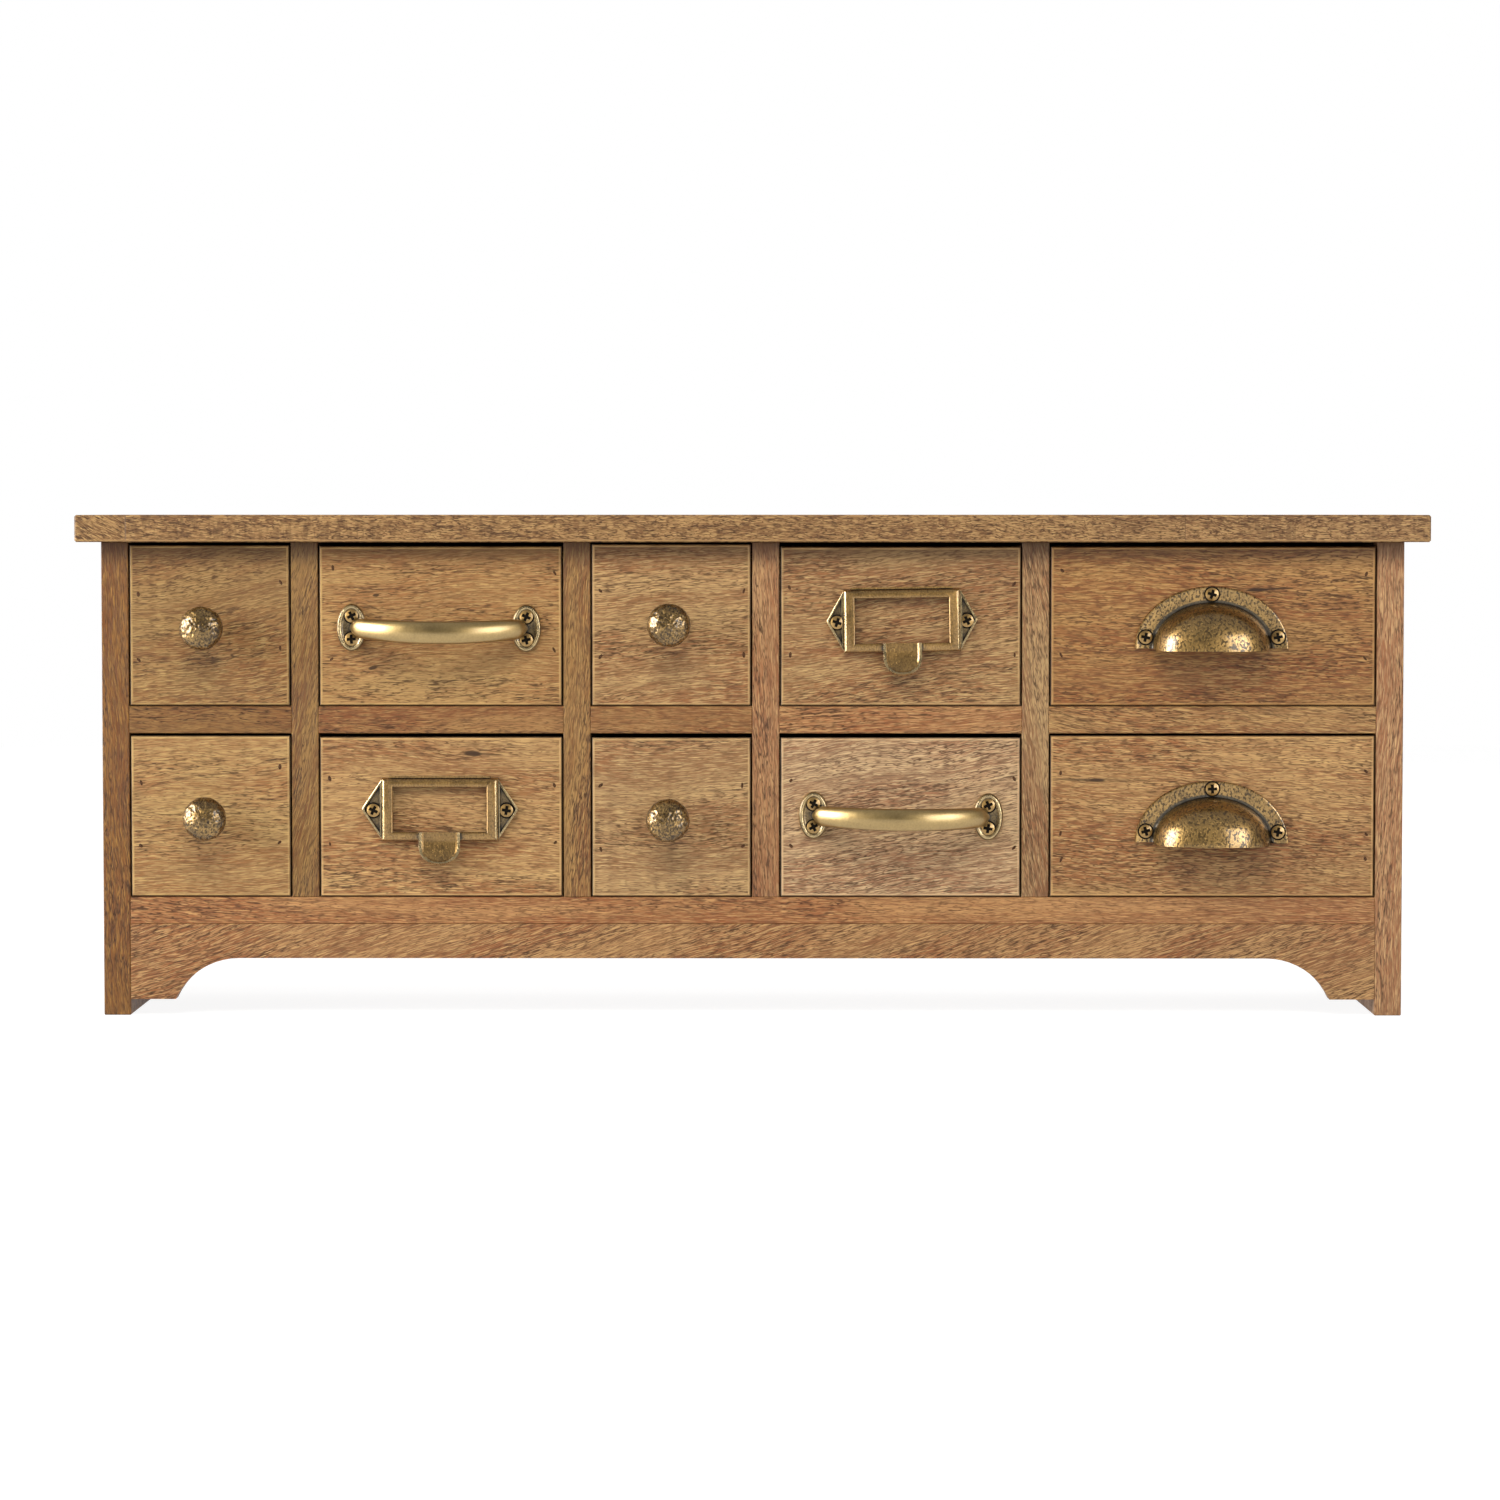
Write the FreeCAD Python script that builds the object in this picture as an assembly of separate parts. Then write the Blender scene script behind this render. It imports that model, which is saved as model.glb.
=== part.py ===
"""Tabletop seed cabinet: ten inset drawers, two rows by five columns, in a butt-jointed hardwood case.

Units are millimetres. +X is to the viewer's right, +Y to the back, +Z up, and the drawers open towards -Y.
The origin is at the bottom centre of the whole cabinet, pulls included, on the surface that it stands on.

Case    : two sides that reach the floor, a bottom board, four dividers, five shelf boards, an overhanging
          top, an arched apron under the front edge, and a plywood back let into rebates.
Drawers : a front on the ends of two sides, a back between the sides, and a plywood bottom in grooves.
Pulls   : hammered knobs, bow handles, card frames with a finger tab, and half-round cup pulls, with screws.
"""
import FreeCAD, Part
import math
import os

from FreeCAD import Vector

# ---------------------------------------------------------------------------------------------- case sizes
BOARD = 16.0                  # thickness of the sides, dividers, shelves, bottom and top
COLUMN_WIDTHS = [96.5, 145.5, 96.0, 144.0, 194.0]   # clear width of each column of drawers, left to right
OPENING_HEIGHT = 97.5         # clear height of each drawer opening
BASE_HEIGHT = 70.5            # floor to the upper face of the bottom board
CASE_DEPTH = 172.0            # front edge of the sides to the back of the case
TOP_SIDE_OVERHANG = 14.0
TOP_FRONT_OVERHANG = 12.0
EASED_EDGE = 0.5              # small bevel where a board's edge was sanded
TOP_EASED_EDGE = 1.0          # larger bevel round the top board

BACK_THICKNESS = 4.0          # plywood back panel
REBATE_WIDTH = 8.0            # how far the back panel is let into each side

APRON_THICKNESS = 12.0
APRON_TOE_CLEARANCE = 9.5     # floor to the lowest edge of the apron
APRON_TOE_LENGTH = 26.5       # straight toe beside each side board
ARCH_WIDTH = 38.0             # length of the curved part at each end of the arch
ARCH_HEIGHT = 24.5            # rise of the arch above the toes

# -------------------------------------------------------------------------------------------- drawer sizes
SIDE_GAP = 1.0                # clearance on each side of a drawer
FOOT_GAP = 0.6                # how far the front's lower edge clears the board below it
FRONT_PROUD = 0.5             # how far the fronts stand out of the case
STOP_GAP = 0.5                # drawer to back panel when shut
FRONT_THICKNESS = 12.0
FRONT_EASED_EDGE = 0.8
BOX_BOARD = 8.0               # thickness of the drawer's sides and back
BOX_HEADROOM = 13.5           # opening left above the drawer's sides
BOX_HEIGHT = OPENING_HEIGHT - BOX_HEADROOM
PANEL_THICKNESS = 3.0         # plywood drawer bottom
PANEL_LIFT = 5.0              # lower edge of the sides to the underside of the bottom panel
GROOVE_DEPTH = 3.5            # depth of the groove in the sides and the front
GROOVE_SLACK = 0.2            # play of the panel in its groove, upwards and sideways

# ------------------------------------------------------------------------------------------ fastener sizes
SCREW_HEAD_RADIUS = 3.9       # countersunk wood screws of the pulls
SCREW_CORE_RADIUS = 1.5
SCREW_TIP_RADIUS = 0.4
SCREW_LENGTH = FRONT_THICKNESS    # the points stay inside the drawer front
SINK_CLEARANCE = 0.25         # countersink beyond the head's edge
RECESS_LENGTH = 4.4           # cross recess, tip to tip
RECESS_WIDTH = 1.1
RECESS_DEPTH = 1.0
BOLT_RADIUS = 2.0             # machine screw that holds a knob from inside the drawer
BOLT_HEAD_RADIUS = 4.0
BOLT_HEAD_HEIGHT = 2.4
BOLT_HEAD_BEVEL = 1.0
BOLT_REACH = 9.0              # length of the machine screw inside the knob
BOLT_CLEARANCE = 0.1
TAPER_SIDES = 12              # flats round the small tapers: screw heads, their sinks and the knobs' necks

# ---------------------------------------------------------------------------------------------- pull sizes
KNOB_RADIUS = 12.5
KNOB_PROJECTION = 25.0
KNOB_DOME = 8.5               # widest section to the front of the head
KNOB_HEEL = 5.5               # widest section to the back of the head
KNOB_NECK_RADIUS = 4.6
KNOB_BASE_RADIUS = 7.5
KNOB_BASE_THICKNESS = 1.6
KNOB_BASE_TAPER = 0.6
KNOB_FACETS = 74              # hammer marks over the whole head

HANDLE_SCREW_SPAN = 103.6     # between the screws of the two feet
HANDLE_SCREW_PITCH = 13.8     # between the two screws of one foot
HANDLE_FOOT_WIDTH = 17.4
HANDLE_FOOT_HEIGHT = 27.8
HANDLE_FOOT_THICKNESS = 3.0
HANDLE_PROJECTION = 27.0
HANDLE_BAR_WIDTH = 11.8       # across the grip, at its middle
HANDLE_BAR_THICKNESS = 6.2
HANDLE_TONGUE = 3.2           # thickness of the grip's ends, between the screws
HANDLE_TAPER = 0.15           # share of its width that the grip loses towards the feet
HANDLE_STATIONS = 5           # cross-sections on each half of the grip
HANDLE_SIDES = 12             # flats round the grip
HANDLE_DISH_DEPTH = 1.2       # the screws sit in a dish in each foot
HANDLE_RIM = 1.7

CUP_WIDTH = 91.0              # half-round plate of the cup pull
CUP_HEIGHT = 36.7
CUP_PLATE = 2.6
CUP_DOME_HALF_WIDTH = 35.0
CUP_DOME_RADIUS = 26.0        # height and projection of the hood
CUP_WALL = 1.7
CUP_STATIONS = 6              # flats from the hood's crown to its end, and from its top to its lip
CUP_END_ANGLE = 84.0          # the hood's ends are blunt: their slope there
CUP_SCREW_SPAN = 78.4
CUP_SCREW_HEIGHT = 6.6        # lower screws above the plate's straight edge
CUP_TOP_SCREW_HEIGHT = 32.0

OVAL_END = 1.1                # how much blunter an oval's ends are than an ellipse's

CARD_FRAME_WIDTH = 68.5
CARD_FRAME_HEIGHT = 37.6
CARD_FRAME_DEPTH = 5.2
CARD_WINDOW_WIDTH = 55.5
CARD_WINDOW_HEIGHT = 26.5
CARD_WALL = 1.4
CARD_EAR = 11.5               # how far each pointed ear stands out of the frame
CARD_EAR_THICKNESS = 2.6
CARD_EAR_BLUNT = 1.2          # half of the flat at the ear's point
CARD_SCREW_SPAN = 79.3
CARD_SLOT_WIDTH = 60.0        # slot in the upper wall, where the card goes in
TAB_WIDTH = 24.4
TAB_DROP = 19.0               # window's lower edge to the end of the finger tab
TAB_FLARE_RADIUS = 17.0       # the tab curls outwards on this radius
TAB_THICKNESS = 1.8

# ------------------------------------------------------------------------------- drawers and their fittings
# Row (0 is the lower one), column, pull, and what was fitted by hand: the gap over the front, how far the
# pull sits from its usual place along X and Z, and its tilt in degrees, positive when its right end is higher.
DRAWERS = [
    (1, 0, "knob", 2.0, -3.0, -2.0, 0.0), (0, 0, "knob", 1.6, -1.7, -1.1, 0.0),
    (1, 1, "handle", 2.6, -0.9, -2.1, -0.3), (0, 1, "card_pull", 2.3, -0.6, 0.2, 0.0),
    (1, 2, "knob", 1.4, -1.1, -0.2, 0.0), (0, 2, "knob", 2.6, -1.7, -2.0, 0.0),
    (1, 3, "card_pull", 2.9, 0.7, -1.15, 0.9), (0, 3, "handle", 2.6, 0.2, -0.25, -0.5),
    (1, 4, "cup_pull", 2.8, -0.95, 0.15, 0.0), (0, 4, "cup_pull", 1.4, -0.4, -1.7, -0.4),
]
ROW_NAMES = ["lower", "upper"]
PULL_LEVELS = {"knob": 0.0, "handle": 0.0, "card_pull": 3.5, "cup_pull": -14.3}   # above the opening's middle

# ------------------------------------------------------------------------------------------- derived places
CASE_WIDTH = sum(COLUMN_WIDTHS) + BOARD * (len(COLUMN_WIDTHS) + 1)
CASE_TOP = BASE_HEIGHT + len(ROW_NAMES) * OPENING_HEIGHT + (len(ROW_NAMES) - 1) * BOARD
REACH = FRONT_PROUD + max(HANDLE_PROJECTION, KNOB_PROJECTION, CUP_DOME_RADIUS)
FRONT_Y = (REACH - CASE_DEPTH) / 2      # front edge of the case
BACK_Y = FRONT_Y + CASE_DEPTH
PANEL_Y = BACK_Y - BACK_THICKNESS       # inner face of the back panel, where dividers and shelves end
FACE_Y = FRONT_Y - FRONT_PROUD          # outer face of the drawer fronts
DRAWER_END_Y = PANEL_Y - STOP_GAP


def column_left(column):
    """Left wall of a column of drawers."""
    return -CASE_WIDTH / 2 + BOARD + sum(COLUMN_WIDTHS[:column]) + BOARD * column


def row_floor(row):
    """Upper face of the board that a row of drawers slides on."""
    return BASE_HEIGHT + row * (OPENING_HEIGHT + BOARD)


# ---------------------------------------------------------------------------------------------- small tools
def block(x, y, z):
    """A box from three (low, high) pairs."""
    low = Vector(x[0], y[0], z[0])
    return Part.makeBox(x[1] - x[0], y[1] - y[0], z[1] - z[0], low)


def edges_on(shape, axis, value):
    """The shape's edges that lie in the plane where the axis ("x", "y" or "z") has that value."""
    def inside(edge):
        return all(abs(getattr(vertex.Point, axis) - value) < 1e-6 for vertex in edge.Vertexes)
    return [edge for edge in shape.Edges if inside(edge)]


def ease(shape, size, edges):
    """Bevels the given edges, each only once."""
    unique = []
    for edge in edges:
        if not any(edge.isSame(other) for other in unique):
            unique.append(edge)
    return shape.makeChamfer(size, unique)


def flat(points):
    """A plane face from its corners."""
    return Part.Face(Part.makePolygon(points + points[:1]))


def skin(rings):
    """A solid with plane faces: rings of points, each joined to the next, and a cap at each end."""
    faces = [flat(rings[0]), flat(rings[-1])]
    for near, far in zip(rings, rings[1:]):
        for n in range(len(near)):
            a, b, c, d = near[n - 1], near[n], far[n], far[n - 1]
            if abs((b - a).cross(c - a).dot(d - a)) < 1e-7:
                faces.append(flat([a, b, c, d]))
            else:
                faces += [flat([a, b, c]), flat([a, c, d])]
    solid = Part.Solid(Part.Shell(faces))
    if solid.Volume < 0:
        solid.reverse()
    return solid


def bar_along_y(radius, start, end, x=0.0, z=0.0):
    """A round bar from y = start to y = end."""
    direction = Vector(0, math.copysign(1, end - start), 0)
    return Part.makeCylinder(radius, abs(end - start), Vector(x, start, z), direction)


def taper_along_y(stations, x=0.0, z=0.0):
    """A turned taper with TAPER_SIDES flats, through a radius at each place along Y: (y, radius) pairs."""
    rings = []
    for y, radius in stations:
        angles = [2 * math.pi * n / TAPER_SIDES for n in range(TAPER_SIDES)]
        rings.append([Vector(x + radius * math.cos(a), y, z + radius * math.sin(a)) for a in angles])
    return skin(rings)


def prism(points, y_low, y_high):
    """A flat outline, given as (x, z) points, extruded along Y."""
    wire = Part.makePolygon([Vector(x, y_low, z) for x, z in points + points[:1]])
    return Part.Face(wire).extrude(Vector(0, y_high - y_low, 0))


def moved(shape, x=0.0, y=0.0, z=0.0):
    copy = shape.copy()
    copy.translate(Vector(x, y, z))
    return copy


def save(name, *solids):
    """Writes one node: one solid, or several that belong together."""
    shape = solids[0] if len(solids) == 1 else Part.makeCompound(list(solids))
    shape.exportStep(os.path.join("parts", name + ".step"))


# ------------------------------------------------------------------------------------------------- the case
def side_board(sign):
    """Solid side, -1 left or 1 right. Its lower end is the foot, and its inner back edge is rebated."""
    outer = sign * CASE_WIDTH / 2
    inner = outer - sign * BOARD
    x = (min(outer, inner), max(outer, inner))
    board = block(x, (FRONT_Y, BACK_Y), (0, CASE_TOP))
    board = ease(board, EASED_EDGE, edges_on(board, "y", FRONT_Y) + edges_on(board, "z", 0))
    rebate = sorted((inner, inner + sign * REBATE_WIDTH))
    return board.cut(block(rebate, (PANEL_Y, BACK_Y), (BASE_HEIGHT - BOARD, CASE_TOP)))


def top_board():
    half = CASE_WIDTH / 2 + TOP_SIDE_OVERHANG
    y = (FRONT_Y - TOP_FRONT_OVERHANG, BACK_Y)
    board = block((-half, half), y, (CASE_TOP, CASE_TOP + BOARD))
    return ease(board, TOP_EASED_EDGE, board.Edges)


def bottom_board():
    half = CASE_WIDTH / 2 - BOARD
    board = block((-half, half), (FRONT_Y, PANEL_Y), (BASE_HEIGHT - BOARD, BASE_HEIGHT))
    return ease(board, EASED_EDGE, edges_on(board, "y", FRONT_Y))


def divider(number):
    """The upright between column number and the next one."""
    left = column_left(number) + COLUMN_WIDTHS[number]
    board = block((left, left + BOARD), (FRONT_Y, PANEL_Y), (BASE_HEIGHT, CASE_TOP))
    return ease(board, EASED_EDGE, edges_on(board, "y", FRONT_Y))


def shelf(column):
    """The board between the lower and the upper drawer of a column."""
    left = column_left(column)
    high = row_floor(1)
    board = block((left, left + COLUMN_WIDTHS[column]), (FRONT_Y, PANEL_Y), (high - BOARD, high))
    return ease(board, EASED_EDGE, edges_on(board, "y", FRONT_Y))


def apron():
    """Board under the front edge, cut to an arch between two toes. Each end of the arch is a circular arc."""
    half = CASE_WIDTH / 2 - BOARD
    top = BASE_HEIGHT - BOARD
    toe = half - APRON_TOE_LENGTH
    crown = APRON_TOE_CLEARANCE + ARCH_HEIGHT
    radius = (ARCH_WIDTH ** 2 + ARCH_HEIGHT ** 2) / (2 * ARCH_HEIGHT)   # level at the crown
    half_turn = math.asin(ARCH_WIDTH / radius) / 2

    def point(x, z):
        return Vector(x, FRONT_Y, z)

    def curve(sign):
        start = point(sign * toe, APRON_TOE_CLEARANCE)
        end = point(sign * (toe - ARCH_WIDTH), crown)
        drop = radius * (1 - math.cos(half_turn))
        return start, point(end.x + sign * radius * math.sin(half_turn), crown - drop), end

    left, right = curve(-1), curve(1)
    low_left, low_right = point(-half, APRON_TOE_CLEARANCE), point(half, APRON_TOE_CLEARANCE)
    corners = [left[0], low_left, point(-half, top), point(half, top), low_right, right[0]]
    edges = [Part.makeLine(a, b) for a, b in zip(corners, corners[1:])]
    edges += [Part.Arc(*right).toShape(), Part.makeLine(right[2], left[2])]
    edges.append(Part.Arc(*reversed(left)).toShape())
    return Part.Face(Part.Wire(edges)).extrude(Vector(0, APRON_THICKNESS, 0))


def back_panel():
    half = CASE_WIDTH / 2 - BOARD + REBATE_WIDTH
    return block((-half, half), (PANEL_Y, BACK_Y), (BASE_HEIGHT - BOARD, CASE_TOP))


# ---------------------------------------------------------------------------------------------- fasteners
def cross_recess(x, z, low, high):
    half, wide = RECESS_LENGTH / 2, RECESS_WIDTH / 2
    upright = block((x - wide, x + wide), (low, high), (z - half, z + half))
    return upright.fuse(block((x - half, x + half), (low, high), (z - wide, z + wide)))


def screw_body(x, z, face, extra=0.0):
    """Countersunk head, its outer face on the plane y = face, and a tapered core, both larger by extra."""
    head, core = SCREW_HEAD_RADIUS + extra, SCREW_CORE_RADIUS + extra
    sink = SCREW_HEAD_RADIUS - SCREW_CORE_RADIUS     # a 90 degree head
    tip = SCREW_TIP_RADIUS + extra
    return taper_along_y([(face, head), (face + sink, core), (face + SCREW_LENGTH, tip)], x, z)


def wood_screw(x, z, face):
    return screw_body(x, z, face).cut(cross_recess(x, z, face, face + RECESS_DEPTH))


def screw_hole(x, z, face):
    """What a wood screw's hole takes out of a metal plate whose outer face is the plane y = face."""
    wide = SCREW_HEAD_RADIUS + SINK_CLEARANCE
    outside = bar_along_y(wide, face, face - SCREW_LENGTH, x, z)
    return screw_body(x, z, face, SINK_CLEARANCE).fuse(outside)


def knob_bolt(x, z):
    """Pan-head machine screw from inside the drawer, through the front, into the knob."""
    inside = FACE_Y + FRONT_THICKNESS
    top = inside + BOLT_HEAD_HEIGHT
    wide = BOLT_HEAD_RADIUS
    head = taper_along_y([(inside, wide), (top - BOLT_HEAD_BEVEL, wide), (top, wide - BOLT_HEAD_BEVEL)], x, z)
    shank = bar_along_y(BOLT_RADIUS, inside, FACE_Y - BOLT_REACH, x, z)
    return head.cut(cross_recess(x, z, top - RECESS_DEPTH, top)).fuse(shank)


# ---------------------------------------------------------------------------------------------------- pulls
# Each pull is made at the origin, on the plane y = 0, with its outside towards -Y.
def hammered_head():
    """The knob's head: a block, cut by one plane per hammer mark. The golden angle spreads the marks evenly,
    and each plane touches an oval whose front is KNOB_DOME deep and whose back is KNOB_HEEL deep."""
    half = KNOB_RADIUS + 0.5
    size = 4 * half                      # the block's corners stay inside each cutting box
    head = block((-half, half), (-half, half), (-half, half))
    golden_angle = math.pi * (3 - math.sqrt(5))
    for mark in range(KNOB_FACETS):
        y = -1 + 2 * (mark + 0.5) / KNOB_FACETS
        turn = mark * golden_angle
        normal = Vector(math.cos(turn) * math.sqrt(1 - y * y), y, math.sin(turn) * math.sqrt(1 - y * y))
        depth = KNOB_DOME if y < 0 else KNOB_HEEL
        reach = math.sqrt(KNOB_RADIUS ** 2 * (1 - y * y) + (depth * y) ** 2)
        waste = block((-size / 2, size / 2), (-size / 2, size / 2), (0, size))
        waste.Placement = FreeCAD.Placement(normal * reach, FreeCAD.Rotation(Vector(0, 0, 1), normal))
        head = head.cut(waste)
    return head


def knob():
    """Hammered head on a tapered neck and a small round base, with a blind hole for the machine screw."""
    widest = KNOB_PROJECTION - KNOB_DOME
    head = moved(hammered_head(), y=-widest)
    rim = -KNOB_BASE_THICKNESS
    foot = [(0, KNOB_BASE_RADIUS), (rim, KNOB_BASE_RADIUS - KNOB_BASE_TAPER)]
    stem = taper_along_y(foot + [(2 * rim, KNOB_NECK_RADIUS), (KNOB_HEEL / 2 - widest, KNOB_NECK_RADIUS)])
    return stem.fuse(head).cut(bar_along_y(BOLT_RADIUS + BOLT_CLEARANCE, 0, -BOLT_REACH - 1))


def oval_ring(centre, width, thickness, turn):
    """Points round an oval section, width along Z, whose normal is X turned by turn about Z."""
    ring = []
    for n in range(HANDLE_SIDES):
        angle = 2 * math.pi * n / HANDLE_SIDES
        across = thickness / 2 * math.cos(angle)
        outwards = Vector(-math.sin(turn), math.cos(turn), 0)
        ring.append(centre + outwards * across + Vector(0, 0, width / 2 * math.sin(angle)))
    return ring


def oval(width, height, y_low, y_high, x=0.0):
    """An oval disc of four arcs, width along X and height along Z, between two planes across Y."""
    a, b = max(width, height) / 2, min(width, height) / 2
    end = OVAL_END * b * b / a                                    # radius of the two sharper arcs
    side = (a * a + b * b - 2 * a * end) / (2 * (b - end))        # radius of the two flatter ones
    joint_a = a - end + end * (a - end) / (side - end)
    joint_b = end * (side - b) / (side - end)
    outline = [(joint_a, joint_b), (0, b), (-joint_a, joint_b), (-a, 0),
               (-joint_a, -joint_b), (0, -b), (joint_a, -joint_b), (a, 0), (joint_a, joint_b)]
    if height > width:
        outline = [(short, long) for long, short in outline]
    points = [Vector(x + px, y_low, pz) for px, pz in outline]
    arcs = [Part.Arc(*points[n:n + 3]).toShape() for n in range(0, len(points) - 1, 2)]
    return Part.Face(Part.Wire(arcs)).extrude(Vector(0, y_high - y_low, 0))


def handle():
    """Cast bow handle: two dished oval feet, and a bowed grip that rises from between each foot's screws."""
    half_span = HANDLE_SCREW_SPAN / 2
    floor = HANDLE_FOOT_THICKNESS - HANDLE_DISH_DEPTH            # plate that is left under the dish
    rise = HANDLE_PROJECTION - HANDLE_BAR_THICKNESS / 2 - floor
    radius = (half_span ** 2 + rise ** 2) / (2 * rise)           # the grip's centre line is an arc
    reach = math.asin(half_span / radius)
    tongue = HANDLE_SCREW_PITCH - 2 * (SCREW_HEAD_RADIUS + SINK_CLEARANCE) - 1
    sections = []
    for station in range(-HANDLE_STATIONS, HANDLE_STATIONS + 1):
        share = station / HANDLE_STATIONS
        swell = math.sqrt(1 - abs(share) ** 8)
        width = tongue + (HANDLE_BAR_WIDTH - tongue) * swell * (1 - HANDLE_TAPER * share * share)
        thickness = HANDLE_TONGUE + (HANDLE_BAR_THICKNESS - HANDLE_TONGUE) * swell
        turn = share * reach
        centre = Vector(radius * math.sin(turn), radius - floor - rise - radius * math.cos(turn), 0)
        sections.append(oval_ring(centre, width, thickness, turn))
    ends = block((-half_span * 2, half_span * 2), (-HANDLE_PROJECTION * 2, 0), (-half_span, half_span))
    grip = skin(sections).common(ends)
    feet, holes = [], []
    for sign in (-1, 1):
        x = sign * half_span
        foot = oval(HANDLE_FOOT_WIDTH, HANDLE_FOOT_HEIGHT, -HANDLE_FOOT_THICKNESS, 0, x)
        dish = oval(HANDLE_FOOT_WIDTH - 2 * HANDLE_RIM, HANDLE_FOOT_HEIGHT - 2 * HANDLE_RIM,
                    -HANDLE_FOOT_THICKNESS - 1, -floor, x)
        feet.append(foot.cut(dish))
        holes += [screw_hole(x, z, -floor) for z in handle_screw_levels()]
    return grip.fuse(feet).cut(Part.makeCompound(holes))


def handle_screw_levels():
    return (-HANDLE_SCREW_PITCH / 2, HANDLE_SCREW_PITCH / 2)


def quarter_dome(half_width, radius):
    """A quarter of an egg, long along X, between the planes y = 0 and z = 0, in flats."""
    rings = []
    for station in range(-CUP_STATIONS, CUP_STATIONS + 1):
        slope = math.radians(CUP_END_ANGLE) * station / CUP_STATIONS
        x, reach = half_width * math.sin(slope), radius * math.cos(slope)
        turns = [math.pi / 2 * n / CUP_STATIONS for n in range(CUP_STATIONS + 1)]
        arc = [Vector(x, -reach * math.sin(turn), reach * math.cos(turn)) for turn in turns]
        rings.append([Vector(x, 0, 0)] + arc)
    return skin(rings)


def cup_pull():
    """Half-round plate with a hood over the fingers, open below. Its origin is its straight edge's middle."""
    plate = oval(CUP_WIDTH, 2 * CUP_HEIGHT, -CUP_PLATE, 0)
    plate = plate.common(block((-CUP_WIDTH, CUP_WIDTH), (-CUP_PLATE, 0), (0, CUP_WIDTH)))
    hood = quarter_dome(CUP_DOME_HALF_WIDTH, CUP_DOME_RADIUS)
    hollow = quarter_dome(CUP_DOME_HALF_WIDTH - CUP_WALL, CUP_DOME_RADIUS - CUP_WALL)
    holes = [screw_hole(x, z, -CUP_PLATE) for x, z in cup_screws()]
    return plate.fuse(hood).cut(Part.makeCompound([hollow] + holes))


def cup_screws():
    half = CUP_SCREW_SPAN / 2
    return [(-half, CUP_SCREW_HEIGHT), (half, CUP_SCREW_HEIGHT), (0, CUP_TOP_SCREW_HEIGHT)]


def card_pull():
    """Card frame with two pointed ears, a slot above for the card, and a finger tab that curls outwards."""
    half, high = CARD_FRAME_WIDTH / 2, CARD_FRAME_HEIGHT / 2
    body = block((-half, half), (-CARD_FRAME_DEPTH, 0), (-high, high))
    body = ease(body, CARD_WALL / 2, edges_on(body, "y", -CARD_FRAME_DEPTH))
    wide, tall = half - CARD_WALL, high - CARD_WALL
    hollow = block((-wide, wide), (CARD_WALL - CARD_FRAME_DEPTH, 1), (-tall, tall))
    window = block((-CARD_WINDOW_WIDTH / 2, CARD_WINDOW_WIDTH / 2), (-CARD_FRAME_DEPTH - 1, 1),
                   (-CARD_WINDOW_HEIGHT / 2, CARD_WINDOW_HEIGHT / 2))
    slot_half = CARD_SLOT_WIDTH / 2
    slot = block((-slot_half, slot_half), (CARD_WALL - CARD_FRAME_DEPTH, 1), (0, high + 1))
    tip = half + CARD_EAR
    ears = []
    for sign in (-1, 1):
        blunt = CARD_EAR_BLUNT
        points = [(sign * half, -high), (sign * tip, -blunt), (sign * tip, blunt), (sign * half, high)]
        ears.append(prism(points, -CARD_EAR_THICKNESS, 0))
    holes = [screw_hole(x, 0, -CARD_EAR_THICKNESS) for x in card_screws()]
    ears = [ear.cut(Part.makeCompound(holes)) for ear in ears]
    frame = body.cut(Part.makeCompound([hollow, slot])).cut(window)
    return frame.fuse(ears + [finger_tab()]).removeSplitter()


def card_screws():
    return (-CARD_SCREW_SPAN / 2, CARD_SCREW_SPAN / 2)


def finger_tab():
    """Strip that lies on the frame's lower border, then curls outwards, with a round end."""
    root = -CARD_WINDOW_HEIGHT / 2
    straight = (CARD_FRAME_HEIGHT - CARD_WINDOW_HEIGHT) / 2 - 1
    bend = root - straight
    back = -CARD_FRAME_DEPTH
    turn = math.asin((TAB_DROP - straight) / TAB_FLARE_RADIUS)

    def on_arc(radius, angle):
        return Vector(0, back - TAB_FLARE_RADIUS + radius * math.cos(angle), bend - radius * math.sin(angle))

    outer, inner = TAB_FLARE_RADIUS, TAB_FLARE_RADIUS - TAB_THICKNESS
    corners = [Vector(0, back, root), on_arc(outer, 0), on_arc(outer, turn),
               on_arc(inner, turn), on_arc(inner, 0), Vector(0, back - TAB_THICKNESS, root)]
    edges = [Part.makeLine(corners[0], corners[1]),
             Part.Arc(corners[1], on_arc(outer, turn / 2), corners[2]).toShape(),
             Part.makeLine(corners[2], corners[3]),
             Part.Arc(corners[3], on_arc(inner, turn / 2), corners[4]).toShape(),
             Part.makeLine(corners[4], corners[5]), Part.makeLine(corners[5], corners[0])]
    strip = Part.Face(Part.Wire(edges)).extrude(Vector(TAB_WIDTH, 0, 0))
    strip = moved(strip, x=-TAB_WIDTH / 2)
    end = root - TAB_DROP
    round_end = oval(TAB_WIDTH, 1.6 * TAB_DROP, -4 * TAB_FLARE_RADIUS, 0)
    round_end = moved(round_end, z=end + 0.8 * TAB_DROP)
    upper = block((-TAB_WIDTH, TAB_WIDTH), (-4 * TAB_FLARE_RADIUS, 0), (end + 0.8 * TAB_DROP, 0))
    return strip.common(round_end.fuse(upper))


# -------------------------------------------------------------------------------------------------- drawers
def pull_shape(pull):
    return {"knob": knob, "handle": handle, "card_pull": card_pull, "cup_pull": cup_pull}[pull]()


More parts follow.
